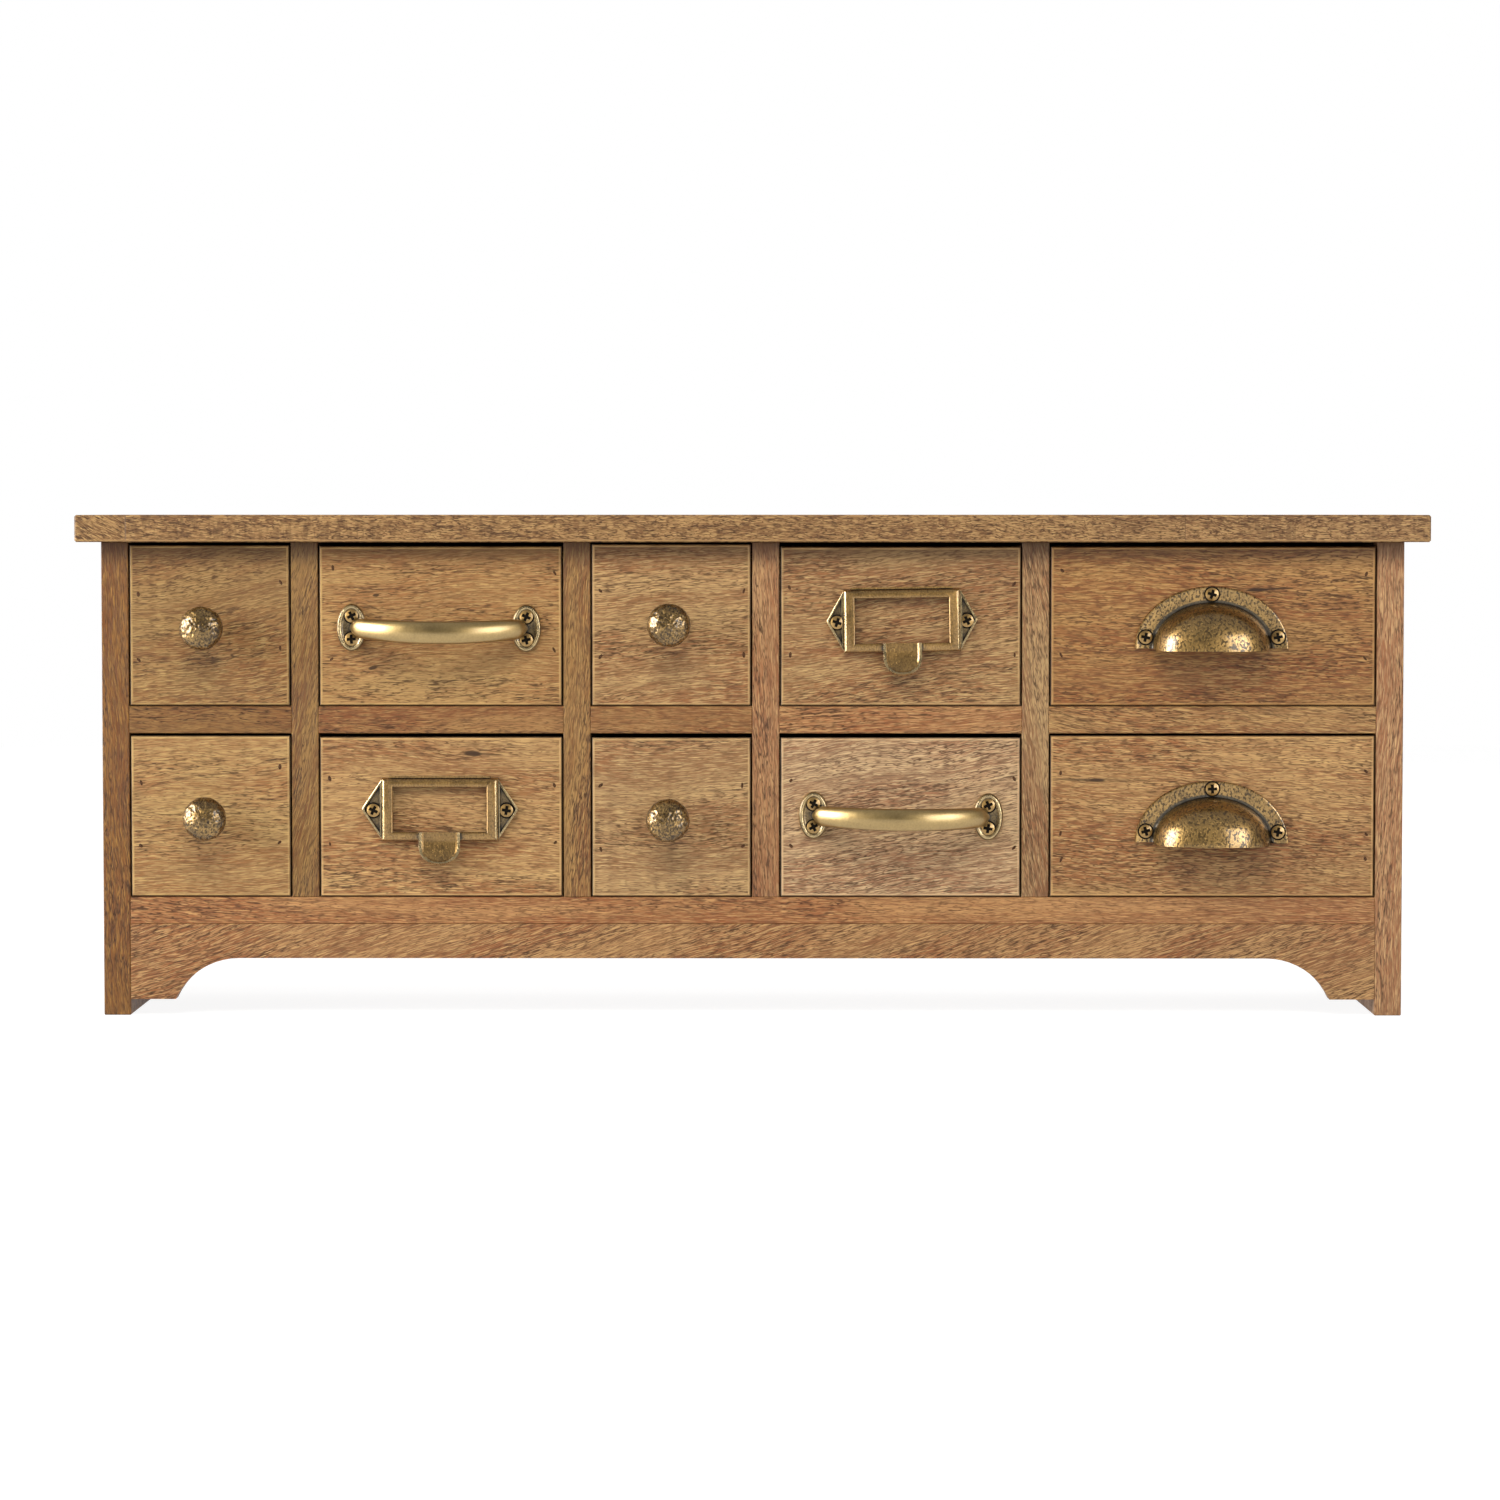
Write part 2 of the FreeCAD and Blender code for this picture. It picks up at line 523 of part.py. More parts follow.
def pull_screws(pull):
    """The screws of a pull: their places (x, z) about its origin, and how far they stand out of the front."""
    if pull == "handle":
        levels = handle_screw_levels()
        spots = [(side * HANDLE_SCREW_SPAN / 2, level) for side in (-1, 1) for level in levels]
        return spots, HANDLE_FOOT_THICKNESS - HANDLE_DISH_DEPTH
    if pull == "card_pull":
        return [(x, 0) for x in card_screws()], CARD_EAR_THICKNESS
    return cup_screws(), CUP_PLATE


def tilted(spot, degrees):
    """A place (x, z) turned about the origin, its right end upwards."""
    c, s = math.cos(math.radians(degrees)), math.sin(math.radians(degrees))
    return spot[0] * c - spot[1] * s, spot[0] * s + spot[1] * c


def drawer(row, column, pull, top_gap, shift_x, shift_z, tilt):
    """One drawer with its pull, shut. Its box is four boards, with the bottom panel held in grooves."""
    name = "%s_drawer_%d" % (ROW_NAMES[row], column + 1)
    left = column_left(column) + SIDE_GAP
    right = left + COLUMN_WIDTHS[column] - 2 * SIDE_GAP
    floor = row_floor(row)
    inside_y = FACE_Y + FRONT_THICKNESS
    face_height = (floor + FOOT_GAP, floor + OPENING_HEIGHT - top_gap)

    front = block((left, right), (FACE_Y, inside_y), face_height)
    front = ease(front, FRONT_EASED_EDGE, edges_on(front, "y", FACE_Y))
    sides = [block((x, x + BOX_BOARD), (inside_y, DRAWER_END_Y), (floor, floor + BOX_HEIGHT))
             for x in (left, right - BOX_BOARD)]
    inner_left, inner_right = left + BOX_BOARD, right - BOX_BOARD
    panel_low = floor + PANEL_LIFT
    panel_high = panel_low + PANEL_THICKNESS
    cut_x = (inner_left - GROOVE_DEPTH, inner_right + GROOVE_DEPTH)
    groove = block(cut_x, (inside_y - GROOVE_DEPTH, DRAWER_END_Y), (panel_low, panel_high + GROOVE_SLACK))
    play = GROOVE_DEPTH - GROOVE_SLACK
    panel_x = (inner_left - play, inner_right + play)
    panel = block(panel_x, (inside_y - play, DRAWER_END_Y), (panel_low, panel_high))
    back_y = (DRAWER_END_Y - BOX_BOARD, DRAWER_END_Y)
    back = block((inner_left, inner_right), back_y, (panel_high, floor + BOX_HEIGHT))

    x = left + (right - left) / 2 + shift_x
    z = floor + OPENING_HEIGHT / 2 + PULL_LEVELS[pull] + shift_z
    if pull == "knob":
        screws = [knob_bolt(x, z)]
        holes = [bar_along_y(BOLT_RADIUS + BOLT_CLEARANCE, FACE_Y - 1, inside_y + 1, x, z)]
    else:
        spots, stand = pull_screws(pull)
        places = [(x + dx, z + dz) for dx, dz in (tilted(spot, tilt) for spot in spots)]
        screws = [wood_screw(px, pz, FACE_Y - stand) for px, pz in places]
        holes = [screw_body(px, pz, FACE_Y - stand) for px, pz in places]
    fitting = moved(pull_shape(pull), x, FACE_Y, z)
    fitting.rotate(Vector(x, FACE_Y, z), Vector(0, -1, 0), tilt)
    front = front.cut(Part.makeCompound(holes + [groove]))
    sides = [side.cut(groove) for side in sides]

    save(name + "_front", front)
    save(name + "_box", sides[0], sides[1], back, panel)
    save(name + "_" + pull, fitting)
    save(name + "_screws", *screws)


# ---------------------------------------------------------------------------------------------------- build
os.makedirs("parts", exist_ok=True)

save("top_board", top_board())
save("left_side", side_board(-1))
save("right_side", side_board(1))
save("bottom_board", bottom_board())
save("front_apron", apron())
save("back_panel", back_panel())
for number in range(len(COLUMN_WIDTHS) - 1):
    save("divider_%d" % (number + 1), divider(number))
for column in range(len(COLUMN_WIDTHS)):
    save("shelf_%d" % (column + 1), shelf(column))

for fitted in DRAWERS:
    drawer(*fitted)
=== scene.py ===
# %% [markdown]
# # A seed cabinet with ten small drawers
# The real object is a low hardwood case with two rows of inset drawers in three widths, and four kinds of
# antique brass pulls. The packed CAD model gives every board its place and its motion. This lesson keeps the
# boards and gives them wood, and it replaces the pulls with finer castings.

# %% Load the packed model
import math
import random
import bmesh
import bpy
from mathutils import Matrix, Vector


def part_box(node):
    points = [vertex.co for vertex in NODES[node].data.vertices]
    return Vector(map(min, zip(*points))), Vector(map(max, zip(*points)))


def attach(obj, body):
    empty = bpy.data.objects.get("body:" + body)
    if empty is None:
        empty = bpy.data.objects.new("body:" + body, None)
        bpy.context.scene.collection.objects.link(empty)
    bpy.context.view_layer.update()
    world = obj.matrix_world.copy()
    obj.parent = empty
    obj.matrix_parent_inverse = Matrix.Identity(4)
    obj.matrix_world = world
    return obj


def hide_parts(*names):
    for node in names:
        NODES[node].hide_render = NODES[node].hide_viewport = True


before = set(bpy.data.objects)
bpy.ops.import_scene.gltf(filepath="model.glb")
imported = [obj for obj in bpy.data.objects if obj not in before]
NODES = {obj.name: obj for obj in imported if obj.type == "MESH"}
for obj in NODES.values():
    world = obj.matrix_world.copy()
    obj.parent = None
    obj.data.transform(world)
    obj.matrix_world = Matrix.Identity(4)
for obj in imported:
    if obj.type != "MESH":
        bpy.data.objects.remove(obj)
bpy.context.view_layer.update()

MM = 0.001

# %% [markdown]
# ## The camera
# Furniture is best seen from far away through a long lens, because its boards then stay nearly parallel.
# This camera stands almost three metres off, just above the top board, and looks down by three degrees.

# %% Camera
CAMERA_PLACE = (0.0120, -2.7520, 0.3000)
CAMERA_LENS = 108.5          # mm, on a sensor 36 mm wide
CAMERA_DOWN = 3.030          # degrees below the horizon
CAMERA_TURN = 0.285          # degrees to the left

camera_data = bpy.data.cameras.new("camera")
camera_data.sensor_width, camera_data.lens, camera_data.clip_end = 36.0, CAMERA_LENS, 50.0
camera = bpy.data.objects.new("camera", camera_data)
camera.location = CAMERA_PLACE
camera.rotation_euler = (math.radians(90 - CAMERA_DOWN), 0.0, math.radians(CAMERA_TURN))
bpy.context.collection.objects.link(camera)
bpy.context.scene.camera = camera
print("camera at", tuple(camera.location))

# %% [markdown]
# ## Shader maths
# A material is a tree of nodes, but it is easier to read as a formula. `Value` wraps one socket and turns
# plus, minus and times into Math nodes. The reflected forms let a plain number stand first.

# %% Values
class Value:
    """A number that varies over the surface."""

    def __init__(self, shader, socket):
        self.shader, self.socket = shader, socket

    def math(self, operation, *others):
        return self.shader.node("Math", {"operation": operation}, dict(enumerate((self,) + others)))

    def __add__(self, other):
        return self.math("ADD", other)

    def __sub__(self, other):
        return self.math("SUBTRACT", other)

    def __mul__(self, other):
        return self.math("MULTIPLY", other)

    def __truediv__(self, other):
        return self.math("DIVIDE", other)

    def __pow__(self, other):
        return self.math("POWER", other)

    def __rsub__(self, other):
        return self.math("MULTIPLY_ADD", -1.0, other)

    __radd__, __rmul__ = __add__, __mul__

    def ramp(self, low, high, to_low=0.0, to_high=1.0):
        """A soft step: to_low below low, to_high above high."""
        inputs = {"Value": self, "From Min": low, "From Max": high, "To Min": to_low, "To Max": to_high}
        return self.shader.node("MapRange", {"interpolation_type": "SMOOTHSTEP"}, inputs)


print("reflected:", [name for name in vars(Value) if name[:3] == "__r"])

# %% [markdown]
# ## Shader trees
# `Shader` is one material. Its method `node` makes any node from a type, its settings and what goes into its
# sockets. Colours go through Mix nodes and never through Math, because Math turns a colour grey. `finish`
# sets what is the same all over the surface, such as a coat, on the sockets themselves.

# %% Shader trees
class Shader:
    """A new material, and the means to build its tree."""

    def __init__(self, name):
        self.material = bpy.data.materials.new(name)
        self.material.use_nodes = True
        self.tree = self.material.node_tree
        self.tree.nodes.clear()

    def node(self, kind, settings=None, inputs=None, output=0):
        made = self.tree.nodes.new("ShaderNode" + kind)
        for name, value in (settings or {}).items():
            setattr(made, name, value)
        for key, value in (inputs or {}).items():
            socket = made.inputs[key]
            if isinstance(value, Value):
                self.tree.links.new(value.socket, socket)
            else:
                socket.default_value = value
        return Value(self, made.outputs[output]) if made.outputs else None

    def mix(self, factor, first, second):
        """Two colours, the second more as the factor grows."""
        return self.node("Mix", {"data_type": "RGBA"}, {0: factor, 6: first, 7: second}, output=2)

    def place(self):
        """Object coordinates, in metres, as three values."""
        object_place = self.node("TexCoord", output=3)
        return [self.node("SeparateXYZ", None, {0: object_place}, output=n) for n in range(3)]

    def noise(self, place, sizes, detail=2.0, roughness=0.5):
        """Noise with so many waves to the metre in each of three directions."""
        waves = self.node("CombineXYZ", None, {n: place[n] * sizes[n] for n in range(3)})
        inputs = {"Vector": waves, "Scale": 1.0, "Detail": detail, "Roughness": roughness}
        return self.node("TexNoise", None, inputs)

    def finish(self, colour, roughness, bump, bump_distance, metallic=0.0, **constants):
        normal = self.node("Bump", None, {"Strength": 1.0, "Distance": bump_distance, "Height": bump})
        inputs = {"Base Color": colour, "Roughness": roughness, "Metallic": metallic, "Normal": normal}
        inputs.update({name.replace("_", " "): value for name, value in constants.items()})
        surface = self.node("BsdfPrincipled", None, inputs)
        self.node("OutputMaterial", None, {"Surface": surface})
        return self.material


print("methods:", [name for name in vars(Shader) if name[0] != "_"])

# %% [markdown]
# ## Tones, marks and pores
# Up close this wood is pale with short dark lines, which are pores that were cut open lengthways. A stretched
# noise crosses its middle value along thin curves, so the places near one half make such lines, and a second
# noise breaks them into dashes. `streak` is for a single knot or split.

# %% Tones, marks and pores
DASHES, HAIRS, BREAKS = (95.0, 860.0, 860.0), (110.0, 1300.0, 1300.0), (90.0, 620.0, 620.0)


def tint(tone, amount, red=0.0):
    """A tone made lighter or darker, and redder."""
    r, g, b = (channel * amount for channel in tone)
    return (r * (1 + 0.10 * red), g * (1 - 0.10 * red), b * (1 - 0.16 * red), 1.0)


def streak(shader, x, z, spot):
    """A mask for a mark on a face: its place, half its length and height in mm, its slope, how dark it is."""
    px, pz, long, high, slope, depth = spot
    dx, dz = x - px * MM, z - pz * MM
    dz = dz - dx * slope
    reach = (dx / (long * MM)) ** 2.0 + (dz / (high * MM)) ** 2.0
    return reach.ramp(1.0, 0.3) * depth


def vessels(shader, place):
    """Dark dashes along the grain, finer hairlines, and the pale wood between the dashes."""
    coarse = (shader.noise(place, DASHES, 1.5) - 0.5).math("ABSOLUTE")
    fine = (shader.noise(place, HAIRS, 1.0) - 0.5).math("ABSOLUTE")
    breaks = shader.noise(place, BREAKS)
    return coarse.ramp(0.072, 0.018) * breaks.ramp(0.44, 0.58), fine.ramp(0.080, 0.010), coarse.ramp(0.075, 0.15)


print("dashes:", DASHES, "waves to the metre")

# %% [markdown]
# ## Wood that is solid all the way through
# Real boards are cut from a block, so the figure on the face runs on round the edge. Noise in three
# dimensions does that when it is stretched along the grain. It comes in broad bands and patches, narrow
# streaks, fine fibres and the pores. Bands and patches also say where the pores are busy, so that a board has
# calm places. Each board gets its own tone, slope of grain and place in the noise.

# %% Wood
LEAN = {"x": (0, 2, 1), "z": (2, 0, 1)}      # along the grain, across it on the face, and through the board
SWAY, RIPPLE = (10.0, 16.0, 14.0), (60.0, 60.0, 40.0)
BANDS, PATCHES = (4.0, 70.0, 40.0), (9.0, 36.0, 30.0)
STREAKS, FIBRES = (14.0, 330.0, 330.0), (85.0, 1300.0, 1300.0)
SWAY_REACH, RIPPLE_REACH = 0.012, 0.0012      # metres that the grain wanders off its line
# The first pair is how far painted shade reaches below and above a ledge. RIM makes a pale rim, partly sanded
# wood and partly a painted highlight of the eased edge, and the last pair is painted shade of the gap at a
# front's edge.
SHADE_DROP, SHADE_RISE = 0.017, 0.002         # metres below and above a ledge
RIM, GAP_SHADE = (0.0020, 0.0011), (0.0006, 0.0003)      # metres from the edge of a face
WOOD_BUMP, WOOD_SHEEN = 0.00022, 0.32


def wood(name, grain, tone, seed, slope=0.0, contrast=1.0, red=0.5, pores=1.0, marks=(), edges=None,
         shade=None, ledge=None, gloss=0.52):
    """edges is the low and high corner of a face whose rim is sanded paler and also painted as a highlight, with
    painted shade of the gap right at its edge. shade is a ramp along z of painted shade, darker where it is
    high.
    ledge is the height of a board that stands out above, under which shade is painted."""
    shader = Shader(name)
    place = shader.place()
    x, z = place[0], place[2]
    dice = random.Random(seed)
    shift = [dice.uniform(-9, 9) for _ in range(3)]
    along, across, through = (place[n] + shift[n] for n in LEAN[grain])
    ripple = shader.noise((along, across, through), RIPPLE, 1.0)
    sway = shader.noise((along, across, through), SWAY, 1.0)
    across = across + along * slope + sway * SWAY_REACH + ripple * RIPPLE_REACH
    block = along, across, through

    bands, patches = shader.noise(block, BANDS), shader.noise(block, PATCHES)
    streaks, fibres = shader.noise(block, STREAKS), shader.noise(block, FIBRES)
    dashes, hair, pale = vessels(shader, block)
    busy = (patches + bands).ramp(0.86, 1.14, 0.35, 1.0)
    pore = dashes * busy * pores

    spread = 0.11 / contrast
    figure = (bands * 0.76 + streaks * 0.24).ramp(0.5 - spread, 0.5 + spread)
    stained = patches.ramp(0.42, 0.62) * ((0.55 + 0.5 * red) * contrast)
    ground = (pale * 0.42 + fibres.ramp(0.48, 0.62) * 0.72) * contrast
    hair_lines = hair * busy.math("MULTIPLY_ADD", 0.5, 0.5) * contrast
    colour = shader.mix(figure, tint(tone, 0.72, red + 0.5), tint(tone, 1.34, -0.2))
    for mask, amount, redder in ((stained, 0.70, 2.0), (ground, 1.66, -0.6), (hair_lines, 0.40, 0.7),
                                 (pore * 0.92, 0.20, 0.8)):
        colour = shader.mix(mask, colour, tint(tone, amount, redder))
    # painted shade along the height of a front
    if shade:
        colour = shader.mix(z.ramp(*shade), colour, tint(tone, 0.42, 1.4))
    # painted shade under a board that stands out above, such as the top board
    if ledge:
        ledge_shade = z.ramp(ledge - SHADE_DROP, ledge + SHADE_RISE, 0.0, 0.85)
        colour = shader.mix(ledge_shade, colour, tint(tone, 0.28, 0.8))
    for spot in marks:
        colour = shader.mix(streak(shader, x, z, spot), colour, tint(tone, 0.10, 1.0))
    # a pale rim, partly sanded wood and partly a painted highlight, then painted shade of the gap right at the
    # edge
    if edges:
        low, high = edges
        near = (x - low.x).math("MINIMUM", high.x - x)
        near = near.math("MINIMUM", (z - low.z).math("MINIMUM", high.z - z))
        sanded_and_highlit = near.ramp(*RIM) * ripple.ramp(0.30, 0.62, 0.25, 0.85)
        colour = shader.mix(sanded_and_highlit, colour, tint(tone, 1.60, -0.4))
        colour = shader.mix(near.ramp(*GAP_SHADE) * 0.8, colour, tint(tone, 0.10, 0.8))
    height = fibres * 0.35 - pore * 0.65 - hair * 0.2
    roughness = pore.math("MULTIPLY_ADD", 0.22, gloss) + (streaks - 0.5) * 0.10
    return shader.finish(colour, roughness, height, WOOD_BUMP, Specular_IOR_Level=WOOD_SHEEN)


print("waves to the metre, from bands to fibres:", BANDS, FIBRES)

# %% [markdown]
# ## The boards of the case
# A joiner takes boards as they come, so the uprights lean to red and the rails vary. The tones are those of a
# paint chart, and the slope says how far the grain runs off the edge. Shade is painted on the uprights for a
# finger's width under the top board, where its overhang shades them.

# %% Case boards
TOP_UNDERSIDE = 0.2815      # metres above the floor


def dress(node, material):
    """Gives a packed node its material."""
    mesh = NODES[node].data
    mesh.materials.clear()
    mesh.materials.append(material)


def timber(*chart):
    """The linear tone of a finished board on a paint chart, less the veil that its own sheen adds."""
    red, green, blue = (((c / 255 + 0.055) / 1.055) ** 2.4 for c in chart)
    return red, green * 0.98, blue * 0.86


BOARDS = [
    # node, grain, tone, slope, contrast, red
    ("left_side", "z", (125, 85, 40), 0.06, 0.9, 0.3), ("right_side", "z", (170, 130, 93), -0.04, 0.8, 0.4),
    ("divider_1", "z", (128, 93, 51), -0.22, 1.0, 0.7), ("divider_2", "z", (138, 101, 58), -0.10, 1.0, 0.6),
    ("divider_3", "z", (158, 117, 80), 0.05, 0.8, 0.9), ("divider_4", "z", (154, 120, 83), 0.14, 0.9, 0.6),
    ("shelf_1", "x", (127, 91, 52), 0.02, 0.7, 0.6), ("shelf_2", "x", (143, 103, 63), -0.02, 0.8, 0.9),
    ("shelf_3", "x", (147, 108, 67), 0.04, 0.8, 0.9), ("shelf_4", "x", (164, 121, 80), -0.05, 0.8, 0.9),
    ("shelf_5", "x", (157, 118, 75), 0.10, 1.0, 0.4), ("bottom_board", "x", (163, 117, 76), 0.01, 0.9, 0.6),
    ("front_apron", "x", (161, 120, 80), -0.30, 1.1, 0.5),
]
for number, (node, grain, tone, slope, contrast, red) in enumerate(BOARDS):
    # upright boards get painted shade under the top board
    ledge = TOP_UNDERSIDE if grain == "z" else None
    dress(node, wood(node + "_wood", grain, timber(*tone), 20 + number, slope, contrast, red, ledge=ledge))
print("boards dressed:", len(BOARDS))

# %% [markdown]
# ## The top board
# The top is glued up from narrow staves, and each stave from shorter lengths. A brick pattern gives the
# joints, and each brick shifts the noise and the tone, so that the grain breaks at a joint as it does on the
# real top. The saw has left faint notches.

# %% Top board
STAVES, LENGTHS, STAGGER = 17.0, 1.6, 0.37      # staves and lengths to the metre, and each row's shift
END_PIECE = -0.37                               # metres: left of it the grain runs steeply into the board
TOP_LOW_EDGE, TOP_FRONT = (0.2833, 0.2825), (-0.0835, -0.0840)      # metres, where the lower front edge is painted paler


def stave_wood(name, tone):
    shader = Shader(name)
    x, y, z = place = shader.place()
    row_place = (y + 0.5) * STAVES
    row = row_place.math("FLOOR")
    length = x * LENGTHS + row * STAGGER + 0.002
    brick = shader.node("CombineXYZ", None, {0: row, 1: length.math("FLOOR"), 2: 0.0})
    dice = shader.node("TexWhiteNoise", {"noise_dimensions": "2D"}, {"Vector": brick})
    along = x + dice * 7.0
    sway = shader.noise((along, y, z), (12.0, 14.0, 14.0), 1.0)
    curl = shader.noise((along, y, z), (70.0, 60.0, 90.0), 1.0)
    across = y + sway * 0.012 + curl * 0.002
    steep = x.ramp(END_PIECE + 0.0002, END_PIECE - 0.0002) * 0.36 + (dice * 13.7).math("FRACT") * 0.14
    block = along, across, z + x * steep + sway * 0.010 + curl * 0.0022
    bands = shader.noise(block, (14.0, 75.0, 110.0))
    streaks = shader.noise(block, (40.0, 320.0, 340.0))
    fibres = shader.noise(block, (150.0, 1300.0, 1300.0))
    chatter, sawn = shader.noise(place, (350.0, 8.0, 70.0), 1.0), shader.noise(place, (11.0, 9.0, 30.0), 1.0)
    pore, hair, pale = vessels(shader, (along * 1.5, across, block[2]))

    figure = (bands * 0.45 + streaks * 0.35 + fibres * 0.20).ramp(0.42, 0.58)
    notch = chatter.ramp(0.52, 0.62) * sawn.ramp(0.42, 0.58)
    cross_joint = length.math("FRACT").ramp(0.0010, 0.0004)
    seam = row_place.math("FRACT").ramp(0.010, 0.003).math("MAXIMUM", cross_joint)
    # the lower front edge of the top is painted paler
    pale_low_edge = z.ramp(*TOP_LOW_EDGE) * y.ramp(*TOP_FRONT)
    ground = pale * 0.6 + fibres.ramp(0.5, 0.66) * 0.6
    colour = shader.mix(figure, tint(tone, 0.70, 0.4), tint(tone, 1.30, -0.2))
    for mask, amount, redder in ((dice.ramp(0.1, 0.9, 0.0, 0.4), 0.84, 1.0), (ground, 1.70, -0.6),
                                 (notch * 0.50, 0.40, 0.3), (hair * 0.95, 0.38, 1.0),
                                 (pore * 0.95, 0.22, 1.0), (seam * 0.7, 0.25, 0.8),
                                 (pale_low_edge * 0.75, 1.75, -0.4)):
        colour = shader.mix(mask, colour, tint(tone, amount, redder))
    height = fibres * 0.3 - pore * 0.6 - seam * 0.8 - notch * 0.3
    roughness = pore.math("MULTIPLY_ADD", 0.2, 0.5)
    return shader.finish(colour, roughness, height, WOOD_BUMP, Specular_IOR_Level=WOOD_SHEEN)


dress("top_board", stave_wood("top_board_wood", timber(149, 113, 74)))
top_low, top_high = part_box("top_board")
print("rows of staves:", math.ceil((top_high.y - top_low.y) * STAVES))

# %% [markdown]
# ## The drawer fronts
# Each front is one flat-sawn piece with its grain level. They were sanded after they were cut, which leaves a
# pale line round the rim, and that line is also a painted highlight of the eased edge, with painted shade of
# the gap at its very edge. A ramp along the height paints shade towards the top or the foot of some fronts,
# and the upper fronts also get painted shade under the top board. Dark marks such as a knot or a split are
# ovals whose place and slope are given in millimetres.

# %% Drawer fronts
FRONTS = {
    # tone, slope, contrast, red, painted shade at the foot and at the top
    "upper_drawer_1": ((150, 116, 73), -0.12, 0.9, 0.4, (0.00, 0.26)),
    "upper_drawer_2": ((165, 128, 82), -0.04, 0.7, 0.7, (0.02, 0.06)),
    "upper_drawer_3": ((165, 129, 88), -0.06, 1.0, 0.6, (0.06, 0.04)),
    "upper_drawer_4": ((161, 126, 86), -0.10, 1.0, 0.6, (0.00, 0.16)),
    "upper_drawer_5": ((153, 111, 66), 0.03, 1.1, 0.8, (0.10, 0.00)),
    "lower_drawer_1": ((167, 132, 87), -0.05, 0.7, 0.6, (0.02, 0.00)),
    "lower_drawer_2": ((172, 134, 90), 0.03, 0.9, 0.5, (0.00, 0.20)),
    "lower_drawer_3": ((169, 134, 94), -0.03, 0.9, 0.4, (0.00, 0.10)),
    "lower_drawer_4": ((178, 144, 111), -0.14, 1.1, 0.3, (0.00, 0.10)),
    "lower_drawer_5": ((168, 128, 84), 0.04, 1.1, 0.7, (0.16, 0.00)),
}
MARKS = {
    # x and z in mm, half the length and the height in mm, slope, depth
    "upper_drawer_2": ((-223, 250, 2.4, 1.1, 0.1, 0.9), (-225, 207, 3.2, 1.4, 0.2, 0.9)),
    "upper_drawer_5": ((308, 253.7, 17, 0.7, 0.05, 0.9), (299, 253.2, 8, 1.3, 0.03, 0.95)),
    "lower_drawer_2": ((-166, 156.1, 6.5, 1.9, -0.06, 0.94), (-158, 155.6, 13, 0.9, -0.06, 0.6)),
    "lower_drawer_5": ((204.5, 140.3, 5.8, 1.3, -0.03, 0.96), (192, 140.7, 17, 0.8, -0.03, 0.6),
                       (212, 140.2, 30, 1.5, -0.01, 0.28)),
}
for number, (drawer, (tone, slope, contrast, red, shade)) in enumerate(FRONTS.items()):
    low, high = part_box(drawer + "_front")
    # the upper fronts get painted shade under the top board
    ledge = TOP_UNDERSIDE if "upper" in drawer else None
    dress(drawer + "_front",
          wood(drawer + "_front_wood", "x", timber(*tone), 50 + number, slope, contrast, red,
               marks=MARKS.get(drawer, ()), edges=(low, high), shade=(low.z, high.z, *shade), gloss=0.50,
               ledge=ledge))
print("fronts dressed:", len(FRONTS))

# %% [markdown]
# ## Drawer boxes and back
# The inside is plainer: pale, unstained boards for the boxes, and thin plywood at the back. Both are the same
# wood formula with a paler tone and fewer pores.

# %% Drawer boxes and back
box_wood = wood("drawer_box_wood", "x", timber(190, 158, 116), 80, 0.02, 0.6, 0.2, pores=0.5, gloss=0.6)
for drawer in FRONTS:
    dress(drawer + "_box", box_wood)
dress("back_panel", wood("plywood", "x", timber(186, 150, 106), 81, 0.0, 0.7, 0.4, pores=0.6, gloss=0.6))
print("inside and back:", box_wood.name, "and", NODES["back_panel"].data.materials[0].name)

# %% [markdown]
# ## Antique brass
# The pulls are cast or pressed brass, dipped in a dark patina and rubbed back. So the metal is bright where a
# cloth reaches and nearly black where it can't. Ambient Occlusion finds the places it can't reach, because it
# is low in a hollow. Pits come from small noise, and dull patina stays in the deepest corners. A thin coat of
# lacquer adds white highlights.

# %% Antique brass
PATINA = (0.024, 0.023, 0.020, 1.0)
LACQUER = {"Coat_Weight": 0.85, "Coat_IOR": 1.5, "Coat_Roughness": 0.20}


def antique_brass(name, bright, worn, pitted, roughness, grain, hollow, mottle, pit_scale):
    """worn is how much was rubbed bright, hollow the width in metres of the hollows that stay dark, grain the
    height of the skin's bumps, mottle how cloudy it is, and pit_scale the number of pits to a metre."""
    shader = Shader(name)
    place = shader.place()
    cloudy = shader.noise(place, (110.0, 110.0, 110.0), 4.0, roughness=0.6)
    speckle = shader.noise(place, (900.0, 900.0, 900.0))
    pits = shader.noise(place, (pit_scale, pit_scale, pit_scale * 0.7))
    open_sky = shader.node("AmbientOcclusion", {"samples": 12, "only_local": True}, {"Distance": hollow},
                           output=1)
    rubbed = (cloudy - 0.5) * (0.8 * mottle) + (speckle - 0.5) * (0.9 * mottle) + worn
    pit = pits.ramp(0.50, 0.60) * pitted
    dirt = open_sky.ramp(0.92, 0.58)
    colour = shader.mix(rubbed.ramp(0.05, 0.85), tint(bright, 0.13, 0.3), tint(bright, 1.0))
    colour = shader.mix(pit * 0.85, colour, tint(bright, 0.08, 0.4))
    colour = shader.mix(dirt * 0.90, colour, PATINA)
    dull = dirt * 0.30 + pit * 0.22 + (cloudy - 0.5) * 0.22 + roughness
    height = (cloudy * 0.5 + speckle * 0.5) * (grain * 0.6) - pit * 0.6
    return shader.finish(colour, dull, height, 0.00025, metallic=1.0, **LACQUER)


print("lacquer:", LACQUER)
